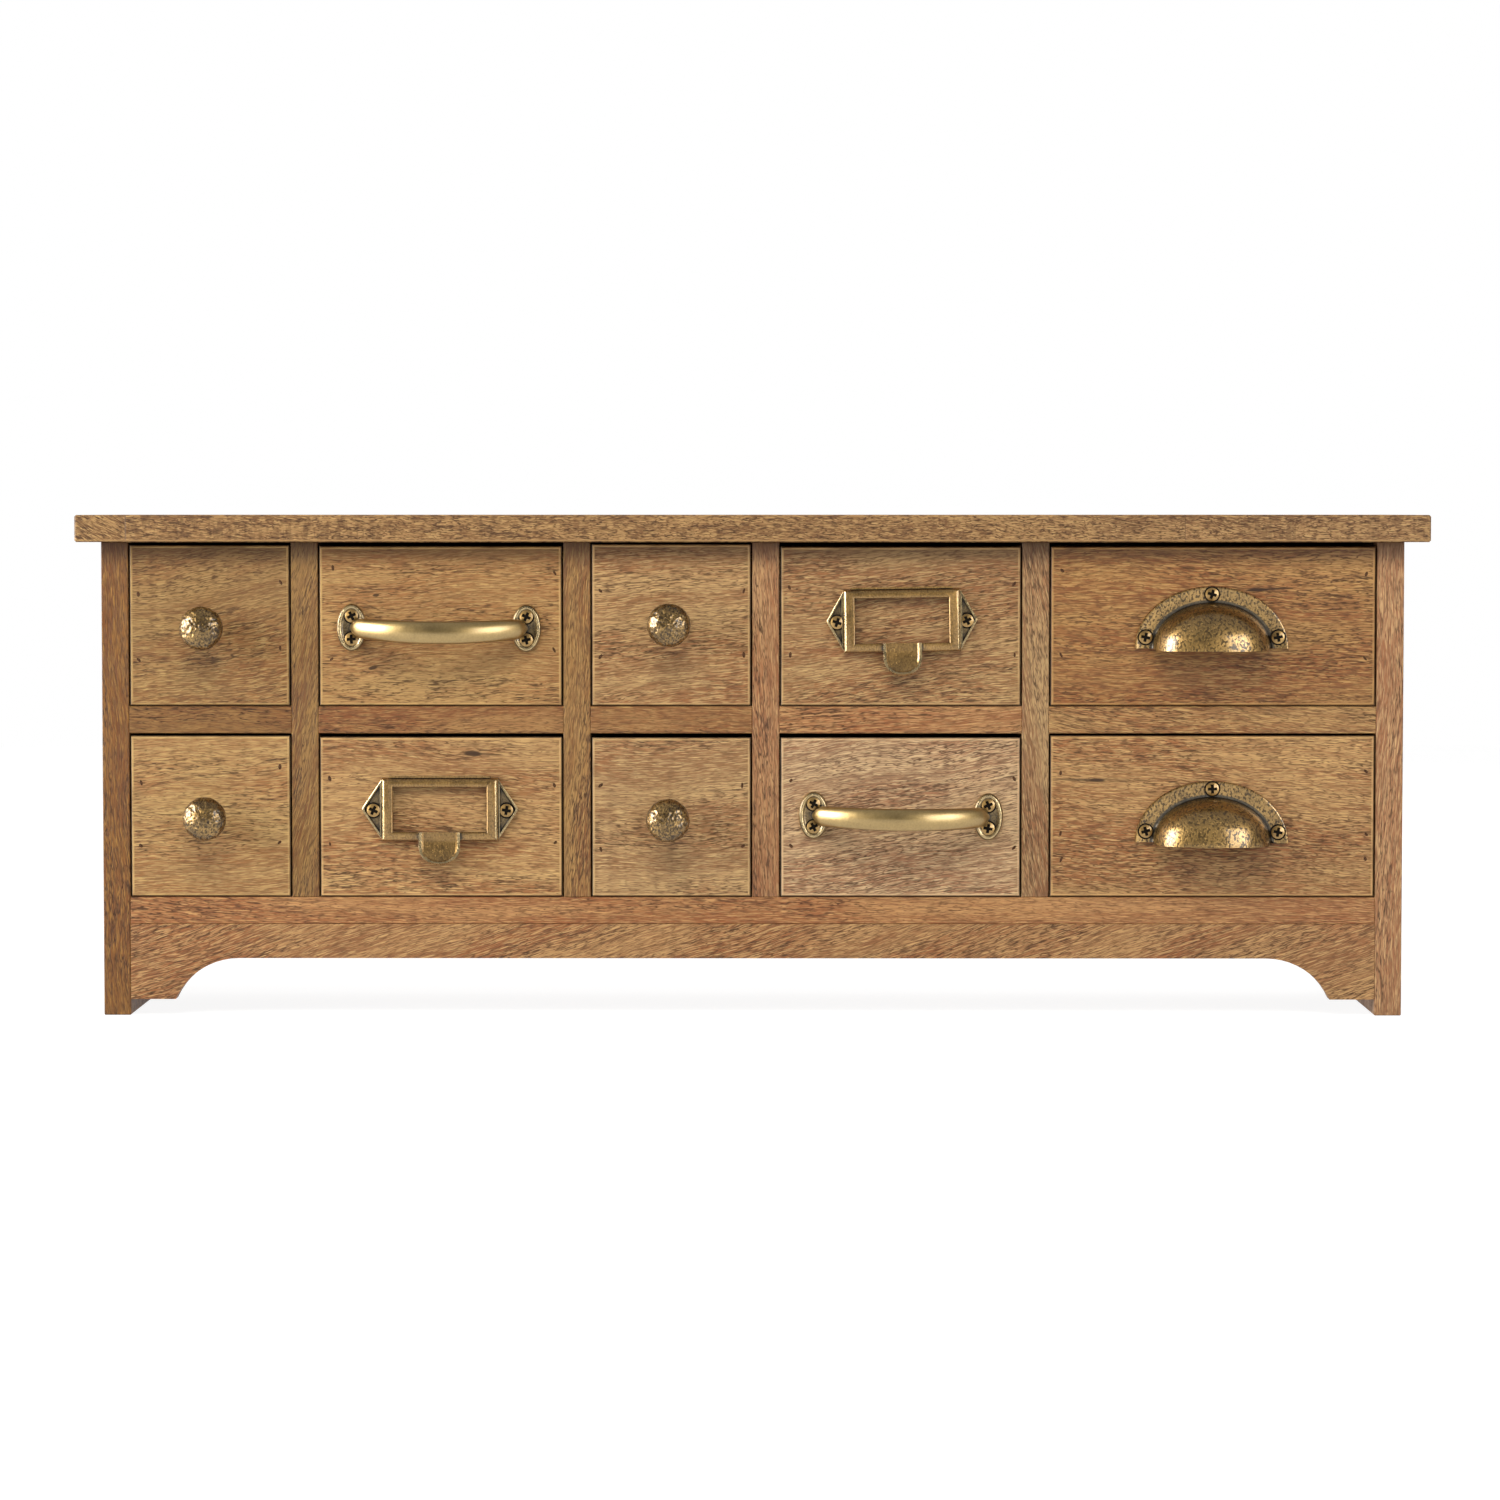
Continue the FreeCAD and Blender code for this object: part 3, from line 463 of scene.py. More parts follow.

# %% [markdown]
# ## The brasses
# Each kind of casting was finished in its own way, so each gets its own row. A brighter brass is for edges that
# fingers polish, and it also stands as a painted highlight on edges that face the lamps. Darker ones are for the
# dished places that no cloth reached.

# %% Brasses
BRASS = (0.42, 0.254, 0.078)
BRASSES = {
    # tone, worn, pitted, roughness, grain, hollow, mottle, pit_scale
    "cast": (BRASS, 0.56, 0.95, 0.35, 1.0, 0.0035, 1.0, 720.0),
    "knob": (BRASS, 0.42, 0.95, 0.31, 2.4, 0.002, 1.2, 850.0),
    "satin": ((0.45, 0.310, 0.118), 0.62, 0.03, 0.36, 0.12, 0.006, 0.30, 1000.0),
    "frame": (tint(BRASS, 1.12, 0.2)[:3], 0.50, 0.35, 0.34, 0.8, 0.0035, 0.6, 1000.0),
    # rubbed: worn edges, also used as a painted highlight on edges that face the lamps
    "rubbed": ((0.54, 0.395, 0.185), 0.62, 0.3, 0.27, 0.5, 0.0035, 0.9, 1000.0),
    "foot": ((0.26, 0.172, 0.066), 0.48, 0.35, 0.36, 0.6, 0.0025, 1.0, 1000.0),
    "dish": ((0.19, 0.140, 0.072), 0.42, 0.4, 0.38, 0.8, 0.0035, 1.0, 1000.0),
    "screw": (BRASS, 0.60, 0.1, 0.44, 0.4, 0.0012, 0.6, 1000.0),
}
METAL = {kind: antique_brass(kind + "_brass", *row) for kind, row in BRASSES.items()}
print("brasses:", [material.name for material in METAL.values()])

# %% [markdown]
# ## Tools for the castings
# Every pull is modelled in millimetres round its own origin, on the face of the drawer, with its outside
# towards -Y. `rings` joins a row of ovals into a skin, as a potter stacks rings. `fit` then turns the mesh by
# the small tilt of a hand-fitted pull, scales it to metres and moves it to its drawer.

# %% Tools for the castings
BODY, EDGE, DARK = 0, 1, 2      # material slots of a casting: its skin, its rubbed edges with painted highlights, its dark dishes


def oval_ring(bm, wide, high, matrix, sides=48):
    """A ring of vertices, wide along X and high along Z, placed by the matrix."""
    made = bmesh.ops.create_circle(bm, cap_ends=False, segments=sides, radius=1.0)["verts"]
    flat = Matrix.Rotation(math.pi / 2, 4, "X") @ Matrix.Diagonal((wide, high, 1.0, 1.0))
    bmesh.ops.transform(bm, matrix=matrix @ flat, verts=made)
    return made


def ring_edges(ring):
    inside = set(ring)
    return [edge for vert in ring for edge in vert.link_edges if edge.other_vert(vert) in inside]


def rings(bm, sections, close_start=True, close_end=True):
    """Bridges each ring to the next, and closes the ends with a face."""
    for first, second in zip(sections, sections[1:]):
        bmesh.ops.bridge_loops(bm, edges=list(set(ring_edges(first) + ring_edges(second))))
    for wanted, ring in ((close_start, sections[0]), (close_end, sections[-1])):
        if wanted:
            bmesh.ops.contextual_create(bm, geom=list(set(ring_edges(ring))))


def fresh(bm, known=()):
    """The vertices, edges and faces that were added after the vertices in known."""
    return ([vert for vert in bm.verts if vert not in known],
            [edge for edge in bm.edges if edge.verts[0] not in known],
            [face for face in bm.faces if face.verts[0] not in known])


def only(geom, kind):
    return [item for item in geom if isinstance(item, kind)]


def paint(faces, slot):
    for face in faces:
        face.material_index = slot


def at(x=0.0, y=0.0, z=0.0):
    return Matrix.Translation((x, y, z))


def as_object(bm, name, *materials):
    """Puts a bmesh into the scene, with one material slot for each material."""
    mesh = bpy.data.meshes.new(name)
    bm.to_mesh(mesh)
    bm.free()
    piece = bpy.data.objects.new(name, mesh)
    bpy.context.collection.objects.link(piece)
    for material in materials:
        mesh.materials.append(material)
    return piece


def fit(bm, drawer, made, node, slot, *materials, smooth=35, levels=0, spot=None):
    """Finishes a casting: closes doubles, turns its faces outwards, moves it to its drawer, lets it ride."""
    place, tilt = spot or place_of(drawer)
    bmesh.ops.remove_doubles(bm, verts=bm.verts, dist=1e-4)
    bmesh.ops.recalc_face_normals(bm, faces=bm.faces)
    move = Matrix.Translation(place) @ Matrix.Rotation(math.radians(-tilt), 4, "Y") @ Matrix.Scale(MM, 4)
    bmesh.ops.transform(bm, matrix=move, verts=bm.verts)
    piece = as_object(bm, drawer + made, *materials)
    piece.data.shade_smooth()
    if smooth:
        piece.data.set_sharp_from_angle(angle=math.radians(smooth))
    if levels:
        finish = piece.modifiers.new("rounder", "SUBSURF")
        finish.levels = finish.render_levels = levels
    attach(piece, drawer)
    if node:
        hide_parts(drawer + node)
    return piece


print("slots of a casting:", BODY, EDGE, DARK)

# %% [markdown]
# ## Where the pulls are
# The pulls were screwed on by hand, so each sits a millimetre or two off the middle of its opening, and some
# are tilted. A front's foot stands a little clear of its board, which the height allows for.

# %% Places of the pulls
PULLS = {
    # kind of pull, shift along X and Z in mm, tilt in degrees
    "upper_drawer_1": ("knob", -3.0, -2.0, 0.0), "lower_drawer_1": ("knob", -1.7, -1.1, 0.0),
    "upper_drawer_2": ("handle", -0.9, -2.1, -0.3), "lower_drawer_2": ("card_pull", -0.6, 0.2, 0.0),
    "upper_drawer_3": ("knob", -1.1, -0.2, 0.0), "lower_drawer_3": ("knob", -1.7, -2.0, 0.0),
    "upper_drawer_4": ("card_pull", 0.7, -1.15, 0.9), "lower_drawer_4": ("handle", 0.2, -0.25, -0.5),
    "upper_drawer_5": ("cup_pull", -0.95, 0.15, 0.0), "lower_drawer_5": ("cup_pull", -0.4, -1.7, -0.4),
}
LEVELS = {"knob": 0.0, "handle": 0.0, "card_pull": 3.5, "cup_pull": -14.3}      # mm from the middle
FOOT_GAP, OPENING = 0.6, 97.5      # mm: under a front, and the height of its opening


def with_pull(kind):
    return [drawer for drawer in PULLS if PULLS[drawer][0] == kind]


def place_of(drawer):
    """Where the origin of a drawer's pull is, in metres, and its tilt."""
    kind, shift_x, shift_z, tilt = PULLS[drawer]
    low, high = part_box(drawer + "_front")
    z = low.z + (OPENING / 2 - FOOT_GAP + LEVELS[kind] + shift_z) * MM
    return Vector(((low.x + high.x) / 2 + shift_x * MM, low.y, z)), tilt


print("first pull at", place_of("upper_drawer_1"))

# %% [markdown]
# ## Screws
# Each is a brass wood screw with a low domed head and a cross recess. A filled circle is cut by planes into
# the cross, and the cross is pushed in. The recess is its own dark slot, because dirt and painted shadow fill
# it, and so is a thin disc behind the head, a dark sheet that shows as painted shade in the ring of its seat.

# %% Screws
HEAD_RADIUS, HEAD_SIDES, HEAD_BEVEL, HEAD_RIM, HEAD_DOME = 3.9, 32, 0.14, 0.42, 0.9
ARM_LENGTH, ARM_WIDTH, RECESS, RECESS_TAPER = 5.4, 1.75, 1.6, 0.85
SEAT_RING, SEAT_OUT = 0.9, 0.30
SHANK = ((1.9, -2.0), (1.0, -9.0))      # radius and depth below the head


def cut_cross(bm, known):
    """Cuts the head along the sides of a cross, pushes the cross in, and returns the recess's floor."""
    for axis in ((1, 0, 0), (0, 1, 0)):
        for reach in (ARM_WIDTH / 2, ARM_LENGTH / 2):
            for side in (-1, 1):
                normal = Vector(axis)
                bmesh.ops.bisect_plane(bm, geom=sum(fresh(bm, known), []), plane_co=normal * reach * side,
                                       plane_no=normal)
    arms = []
    for face in fresh(bm, known)[2]:
        near = sorted(abs(v) for v in face.calc_center_median()[:2])
        if near[0] < ARM_WIDTH / 2 and near[1] < ARM_LENGTH / 2:
            arms.append(face)
    floor = only(bmesh.ops.extrude_face_region(bm, geom=arms)["geom"], bmesh.types.BMVert)
    bmesh.ops.delete(bm, geom=arms, context="FACES_ONLY")
    bmesh.ops.translate(bm, vec=(0, 0, -RECESS), verts=floor)
    return set(floor)


def screw(bm, x, z, stand, turn):
    """One screw at (x, z), its rim at y = -stand, turned about its own axis."""
    known = set(bm.verts)
    bmesh.ops.create_circle(bm, cap_ends=True, segments=HEAD_SIDES, radius=HEAD_RADIUS)
    bmesh.ops.inset_region(bm, faces=fresh(bm, known)[2], thickness=HEAD_RADIUS * HEAD_BEVEL, depth=0.0,
                           use_boundary=True, use_even_offset=True)
    floor = cut_cross(bm, known)
    verts, edges, faces = fresh(bm, known)
    for vert in verts:
        out = (vert.co.x ** 2 + vert.co.y ** 2) / HEAD_RADIUS ** 2
        if vert in floor:
            vert.co.xy *= RECESS_TAPER
        vert.co.z += HEAD_RIM + HEAD_DOME * (1 - out)
    # the recess gets the dark slot: dirt with painted shade
    paint([face for face in faces if any(vert in floor for vert in face.verts)], EDGE)
    rim = [edge for edge in edges if edge.is_boundary]
    for radius, depth in SHANK:
        skirt = bmesh.ops.extrude_edge_only(bm, edges=rim)["geom"]
        rim = [edge for edge in only(skirt, bmesh.types.BMEdge) if edge.is_boundary]
        for vert in only(skirt, bmesh.types.BMVert):
            vert.co.xy = vert.co.xy.normalized() * radius
            vert.co.z = depth
    bmesh.ops.contextual_create(bm, geom=rim)
    # a dark disc behind the head: painted shade in the ring round it
    seat = bmesh.ops.create_circle(bm, cap_ends=True, segments=HEAD_SIDES, radius=HEAD_RADIUS + SEAT_RING)
    bmesh.ops.translate(bm, vec=(0, 0, SEAT_OUT), verts=seat["verts"])
    paint({face for vert in seat["verts"] for face in vert.link_faces}, EDGE)
    place = at(x, -stand, z) @ Matrix.Rotation(math.radians(90), 4, "X") @ Matrix.Rotation(turn, 4, "Z")
    bmesh.ops.transform(bm, matrix=place, verts=fresh(bm, known)[0])


print("screw heads:", 2 * HEAD_RADIUS, "mm")

# %% [markdown]
# ## Dirt and painted shade, and a drawer's screws
# Old wax and dust in a recess have no shine, so their sheen is turned down too, and its near-black colour is
# also painted shade in the recess and in the ring of the seat. The same crumbly dirt in brown fills the nail
# holes later. A hand drove the screws, so each is turned by chance.

# %% Dirt and painted shade, and a drawer's screws
def dirt(name, crumb_size, step, dark, light, dullness, sheen):
    shader = Shader(name)
    crumbs = shader.noise(shader.place(), (crumb_size,) * 3)
    colour = shader.mix(crumbs.ramp(0.5 - step, 0.5 + step), dark, light)
    return shader.finish(colour, crumbs.ramp(0.3, 0.7, *dullness), crumbs, 0.0001, Specular_IOR_Level=sheen)


# the screws' dark slot: dirt with painted shade in the recess and round the head
screw_dirt_and_shade = dirt("recess_dirt_and_shade", 2500.0, 0.10, (0.004, 0.003, 0.002, 1.0), (0.016, 0.011, 0.006, 1.0),
                  (0.6, 0.85), 0.06)


def fit_screws(drawer, spots, stand):
    dice = random.Random(drawer)
    bm = bmesh.new()
    for x, z in spots:
        screw(bm, x, z, stand, dice.uniform(-0.5, 0.5))
    fit(bm, drawer, "_cross_screws", "_screws", "screw_brass", METAL["screw"], screw_dirt_and_shade, smooth=30)
    print(drawer, "screws:", len(spots))

# %% [markdown]
# ## Hammered knobs
# The knob is turned first: a profile of base, neck and head is spun about its axis. A hammer then leaves
# shallow dents that nearly touch, so each point of the head sinks by how close it is to the nearest blow. The
# blows lie on a spiral with the golden angle, pushed about a little, because that spreads them evenly.

# %% Hammered knobs
KNOB_RADIUS, KNOB_OUT, KNOB_DOME, KNOB_HEEL, KNOB_NECK = 13.1, 25.3, 8.8, 6.0, 4.5
KNOB_BASE = [(0.0, 0.0), (7.0, 0.0), (7.5, -0.3), (7.5, -0.9), (6.9, -1.6), (5.2, -2.2), (4.6, -3.6),
             (KNOB_NECK, -8.0)]
KNOB_WIDEST, QUARTER, SPIN_STEPS = KNOB_OUT - KNOB_DOME, 22, 96
BLOWS, BLOW_REACH, BLOW_DEPTH = 260, 1.6, 0.42


def turned_knob(bm):
    profile = list(KNOB_BASE)
    for step in range(-12, QUARTER + 1):
        turn = math.pi / 2 * step / QUARTER
        depth = KNOB_DOME if step > 0 else KNOB_HEEL
        if KNOB_RADIUS * math.cos(turn) > KNOB_NECK or step > 0:
            profile.append((KNOB_RADIUS * math.cos(turn), -KNOB_WIDEST - depth * math.sin(turn)))
    verts = [bm.verts.new((r if abs(r) > 1e-6 else 0.0, y, 0.0)) for r, y in profile]
    edges = [bm.edges.new(pair) for pair in zip(verts, verts[1:])]
    bmesh.ops.spin(bm, geom=verts + edges, cent=(0, 0, 0), axis=(0, 1, 0), angle=2 * math.pi,
                   steps=SPIN_STEPS, use_merge=True, use_duplicate=False)
    bmesh.ops.remove_doubles(bm, verts=bm.verts, dist=1e-4)


def hammer(bm, dice):
    golden = math.pi * (3 - math.sqrt(5))
    blows = []
    for n in range(BLOWS):
        y = -1 + 1.75 * (n + 0.5) / BLOWS
        turn = n * golden + dice.uniform(-0.25, 0.25)
        side = KNOB_RADIUS * math.sqrt(max(0.0, 1 - y * y))
        depth = KNOB_DOME if y < 0 else KNOB_HEEL
        spot = Vector((side * math.cos(turn), -KNOB_WIDEST + depth * y, side * math.sin(turn)))
        blows.append((spot, BLOW_REACH * dice.uniform(0.75, 1.3), BLOW_DEPTH * dice.uniform(0.5, 1.2)))
    bm.normal_update()
    moves = []
    for vert in bm.verts:
        if vert.co.y < -KNOB_WIDEST + 4.5:
            sink = 0.0
            for spot, reach, depth in blows:
                near = (vert.co - spot).length / reach
                if near < 1:
                    sink = max(sink, depth * (1 - near * near) ** 1.5)
            moves.append((vert, vert.normal * (dice.uniform(-0.10, 0.02) - sink)))
    for vert, move in moves:
        vert.co += move


for drawer in with_pull("knob"):
    bm = bmesh.new()
    turned_knob(bm)
    hammer(bm, random.Random(drawer + " knob"))
    fit(bm, drawer, "_hammered_knob", "_knob", "antique_brass", METAL["knob"], smooth=0, levels=1)
    dress(drawer + "_screws", METAL["screw"])
print("hammered knobs:", len(with_pull("knob")), "with", BLOWS, "blows each")

# %% [markdown]
# ## Bow handles
# The grip is a row of oval sections along an arc. They start narrow between the screws of one foot, swell
# within a few millimetres, and are fullest at the middle. Each foot is a stack of ovals: outer wall, raised
# rim, and a dish that holds the screws.

# %% Bow handles
HANDLE_SPAN, SCREW_PITCH, HANDLE_OUT = 103.6, 13.8, 27.0
FOOT_WIDE, FOOT_HIGH, FOOT_FLOOR = 17.8, 28.2, 1.8
FOOT_STACK = [(0.0, 0.0), (0.0, -1.5), (0.35, -2.3), (1.0, -2.85), (1.8, -3.0), (2.5, -2.7), (3.2, -2.1),
              (4.4, -FOOT_FLOOR)]      # inset and depth
GRIP_WIDE, GRIP_THICK, ROOT_WIDE, ROOT_THICK, SWELL, TAPER = 13.3, 6.8, 3.6, 3.0, 0.13, 0.12
GRIP_DROOP = {"upper_drawer_2": 2.3, "lower_drawer_4": 0.9}      # mm that the middle of the grip hangs
HALF_SECTIONS, GRIP_SIDES = 36, 28


def handle_foot(bm, x):
    rings(bm, [oval_ring(bm, FOOT_WIDE / 2 - inset, FOOT_HIGH / 2 - inset, at(x, y, 0))
               for inset, y in FOOT_STACK])
    for face in bm.faces:
        middle = face.calc_center_median()
        # the rim gets the rubbed brass, partly wear and partly a painted highlight
        if -2.98 < middle.y < -2.6:
            paint([face], EDGE)
        elif middle.y < -1.0 and face.normal.y < -0.7:
            paint([face], DARK)


def handle_grip(bm, hang):
    rise = HANDLE_OUT - GRIP_THICK / 2 - FOOT_FLOOR
    half = HANDLE_SPAN / 2
    radius = (half ** 2 + rise ** 2) / (2 * rise)
    reach = math.asin(half / radius)
    sections = []
    for n in range(-HALF_SECTIONS, HALF_SECTIONS + 1):
        share = math.sin(math.pi / 2 * n / HALF_SECTIONS)
        swell = math.sin(math.pi / 2 * min(1.0, (1 - abs(share)) / SWELL))
        wide = ROOT_WIDE + (GRIP_WIDE * (1 - TAPER * share * share) - ROOT_WIDE) * swell
        thick = ROOT_THICK + (GRIP_THICK - ROOT_THICK) * swell
        turn = share * reach
        centre = at(radius * math.sin(turn), radius - FOOT_FLOOR - rise - radius * math.cos(turn),
                    -hang * math.cos(math.pi / 2 * share))
        stand = Matrix.Rotation(turn, 4, "Z") @ Matrix.Rotation(math.pi / 2, 4, "Z")
        sections.append(oval_ring(bm, thick / 2, wide / 2, centre @ stand, sides=GRIP_SIDES))
    rings(bm, sections)


for drawer in with_pull("handle"):
    bm = bmesh.new()
    for side in (-1, 1):
        handle_foot(bm, side * HANDLE_SPAN / 2)
    handle_grip(bm, GRIP_DROOP[drawer])
    fit(bm, drawer, "_bow_handle", "_handle", "antique_brass", METAL["satin"], METAL["rubbed"], METAL["foot"])
    spots = [(side * HANDLE_SPAN / 2, level * SCREW_PITCH / 2) for side in (-1, 1) for level in (-1, 1)]
    fit_screws(drawer, spots, FOOT_FLOOR)

# %% [markdown]
# ## Cup pulls
# A cup pull is one pressed sheet: a flange against the drawer and a hood over the fingers. Seen from the front
# it is half of a hat. So the whole hat is stacked from ovals, up its outside and down its inside, and one
# plane then cuts it in half along the lip. The cut is closed with a face, which gives the sheet a crisp lip.

# %% Cup pulls
CUP_WIDE, CUP_HIGH, PLATE = 91.0, 36.7, 2.6
HOOD_WIDE, HOOD_HIGH, HOOD_OUT, WALL, LIP_DROP = 34.6, 26.4, 26.0, 1.7, 1.3
HOOD_STEPS, HOOD_POWER, HAT_SIDES = 18, 2.3, 96
# how far the flange is inset from its outline, then how far it clears the hood, each with its depth
FLANGE_RIM = ((0.0, 0.0), (0.0, -1.7), (0.4, -2.35), (1.0, -PLATE), (1.9, -2.35))
FLANGE_ROOT = ((5.0, 4.8, -2.2), (2.4, 2.3, -2.0), (0.9, 0.9, -2.0), (0.1, 0.2, -2.9))
CROWN = (0.6, 0.5)
CUP_SCREWS = [(-39.2, 6.6), (39.2, 6.6), (0.0, 32.0)]


def hood(wide, high, out):
    """Ovals of a dome that is a little fuller than an ellipsoid, from its foot to its crown."""
    made = []
    for step in range(1, HOOD_STEPS):
        turn = math.pi / 2 * step / HOOD_STEPS
        c, s = math.cos(turn), math.sin(turn)
        full = (c ** HOOD_POWER + s ** HOOD_POWER) ** (-1 / HOOD_POWER)
        if out * s * full > 3.4:
            made.append((wide * c * full, high * c * full, -out * s * full))
    return made


def cup_hat(bm):
    flange = [(CUP_WIDE / 2 - inset, CUP_HIGH - inset, y) for inset, y in FLANGE_RIM]
    flange += [(HOOD_WIDE + wide, HOOD_HIGH + high, y) for wide, high, y in FLANGE_ROOT]
    outside = flange + hood(HOOD_WIDE, HOOD_HIGH, HOOD_OUT) + [(*CROWN, -HOOD_OUT)]
    wide, high, out = HOOD_WIDE - WALL, HOOD_HIGH - WALL, HOOD_OUT - WALL
    inside = [(wide, high, 0.0)] + hood(wide, high, out) + [(*CROWN, -out)]
    skins = [[oval_ring(bm, wide, high, at(0, y, 0), sides=HAT_SIDES) for wide, high, y in stack]
             for stack in (outside, inside)]
    for skin in skins:
        rings(bm, skin, close_start=False)
    rings(bm, [skins[0][0], skins[1][0]], close_start=False, close_end=False)
    for face in bm.faces:
        x, y, z = face.calc_center_median()
        if -3.2 < y < -1.95 and (x / (HOOD_WIDE + 3)) ** 2 + (z / (HOOD_HIGH + 3)) ** 2 < 1:
            paint([face], DARK)
    bmesh.ops.bisect_plane(bm, geom=sum(fresh(bm), []), dist=1e-3, plane_co=(0, 0, 0), plane_no=(0, 0, 1),
                           clear_inner=True)
    bmesh.ops.contextual_create(bm, geom=[edge for edge in bm.edges if edge.is_boundary])
    for vert in bm.verts:
        outward = min(1.0, max(0.0, (-vert.co.y - PLATE) / 5.0))
        vert.co.z -= LIP_DROP * outward * max(0.0, 1 - vert.co.z / 10.0)


for drawer in with_pull("cup_pull"):
    bm = bmesh.new()
    cup_hat(bm)
    fit(bm, drawer, "_pressed_cup", "_cup_pull", "antique_brass", METAL["cast"], METAL["rubbed"], METAL["dish"])
    fit_screws(drawer, CUP_SCREWS, PLATE - 0.3)

# %% [markdown]
# ## The frame for a card
# This pull holds a card that names the seeds. Its frame is a rectangle with a window, open along the top so
# that a card drops in. It starts as one flat face: an inset makes the window, edges are pulled back for the
# walls, and a bevel rounds the crest before the sheet gets its thickness.

# %% Card frame
FRAME_WIDE, FRAME_HIGH, FRAME_OUT, FRAME_SHEET = 69.6, 37.6, 5.2, 1.1
WINDOW_WIDE, WINDOW_HIGH, SLOT_HALF, SLOT_DEPTH, WINDOW_DEPTH = 55.5, 26.5, 30.0, 1.4, 1.8
OUTER_BEVEL, INNER_BEVEL = 2.9, 1.2


def on_outline(vert, limit=0.49):
    return max(abs(vert.x) / FRAME_WIDE, abs(vert.z) / FRAME_HIGH) > limit


def card_frame(bm):
    bmesh.ops.create_grid(bm, x_segments=1, y_segments=1, size=0.5)
    face_out = at(0, -FRAME_OUT, 0) @ Matrix.Rotation(math.pi / 2, 4, "X")
    bmesh.ops.transform(bm, matrix=face_out @ Matrix.Diagonal((FRAME_WIDE, FRAME_HIGH, 1, 1)), verts=bm.verts)
    border = (FRAME_HIGH - WINDOW_HIGH) / 2
    bmesh.ops.inset_region(bm, faces=bm.faces[:], thickness=border, depth=0.0, use_boundary=True,
                           use_even_offset=True)
    window = min(bm.faces, key=lambda face: face.calc_center_median().xz.length)
    for vert in window.verts:
        vert.co.x *= WINDOW_WIDE / (FRAME_WIDE - 2 * border)
    bmesh.ops.delete(bm, geom=[window], context="FACES_ONLY")
    for side in (-1, 1):
        bmesh.ops.bisect_plane(bm, geom=sum(fresh(bm), []), plane_co=(side * SLOT_HALF, 0, 0),
                               plane_no=(1, 0, 0))
    rim = [e for e in bm.edges if e.is_boundary]
    outer = [e for e in rim if on_outline(e.verts[0].co)]
    inner = [e for e in rim if e not in outer]
    slot = [e for e in outer if all(v.co.z > 0 and abs(v.co.x) < SLOT_HALF + 0.5 for v in e.verts)]
    walls = [e for e in outer if e not in slot]
    for edges, depth in ((walls, FRAME_OUT), (inner, WINDOW_DEPTH), (slot, SLOT_DEPTH)):
        wall = bmesh.ops.extrude_edge_only(bm, edges=edges)["geom"]
        bmesh.ops.translate(bm, vec=(0, depth, 0), verts=only(wall, bmesh.types.BMVert))
    bmesh.ops.remove_doubles(bm, verts=bm.verts, dist=1e-4)
    bmesh.ops.recalc_face_normals(bm, faces=bm.faces)
    crest = [e for e in bm.edges if all(abs(v.co.y + FRAME_OUT) < 1e-5 for v in e.verts)
             and len(e.link_faces) == 2 and e.calc_face_angle(0) > 1]
    outer = [e for e in crest if on_outline(e.verts[0].co)]
    inner = [e for e in crest if e not in outer]
    for edges, size in ((outer, OUTER_BEVEL), (inner, INNER_BEVEL)):
        bmesh.ops.bevel(bm, geom=edges, offset=size, segments=4, profile=0.5, affect="EDGES", material=-1)
    bm.normal_update()
    # the left and right outer bevels get the rubbed brass, partly wear and partly a painted highlight where the
    # side lamps fall, while the top and bottom bevels keep the darker skin
    for face in bm.faces:
        sloping = 0.45 < abs(face.normal.y) < 0.97 and abs(face.normal.x) > 0.2
        if sloping and on_outline(face.calc_center_median(), 0.44):
            paint([face], EDGE)
    bmesh.ops.solidify(bm, geom=bm.faces[:], thickness=FRAME_SHEET)


print("card window:", WINDOW_WIDE, "x", WINDOW_HIGH, "mm")

# %% [markdown]
# ## Ears and a tab
# Two pointed ears with a raised rim carry the screws. Each is a pointed face that is raised and then inset
# three times, up for the rim and down for the dish. The tab under the window curls out for a finger, so a
# flat grid is bent along an arc, its end is rounded, and its rim stands proud.

# %% Ears and tab
EAR_THICK, EAR_TIP, EAR_INSETS = 2.6, 1.5, ((0.35, -0.25, EDGE), (0.8, 0.0, EDGE), (0.7, 1.3, DARK))
TAB_DROP, TAB_CURL, TAB_THICK, TAB_LIP = 19.4, 26.0, 1.8, 0.7
TAB_SQUARE, TAB_ROUND = 0.35, 2.6      # share of the tab with straight sides, and how blunt its end is


def card_ear(bm, side, length):
    half, high, tip = FRAME_WIDE / 2, FRAME_HIGH / 2, FRAME_WIDE / 2 + length
    corners = [(side * (half - 0.4), -high + 0.6), (side * (tip - 0.6), -EAR_TIP), (side * tip, 0.0),
               (side * (tip - 0.6), EAR_TIP), (side * (half - 0.4), high - 0.6)]
    face = bm.faces.new([bm.verts.new((x, 0.0, z)) for x, z in corners])
    top = only(bmesh.ops.extrude_face_region(bm, geom=[face])["geom"], bmesh.types.BMFace)[0]
    bmesh.ops.translate(bm, vec=(0, -EAR_THICK, 0), verts=top.verts[:])
    for inset, sink, slot in EAR_INSETS:
        border = bmesh.ops.inset_region(bm, faces=[top], thickness=inset, depth=0.0, use_even_offset=True)
        bmesh.ops.translate(bm, vec=(0, sink, 0), verts=top.verts[:])
        paint(border["faces"] + [top], slot)


def tab_outline(across, down):
    """How near a point of the tab is to its rim, from 0 to 1, and how far the sides are drawn in there."""
    fall = max(0.0, (down - TAB_SQUARE) / (1 - TAB_SQUARE)) ** TAB_ROUND
    return (2 * across) ** 2 * (1 - fall) + fall, math.sqrt(max(0.0, 1 - fall))


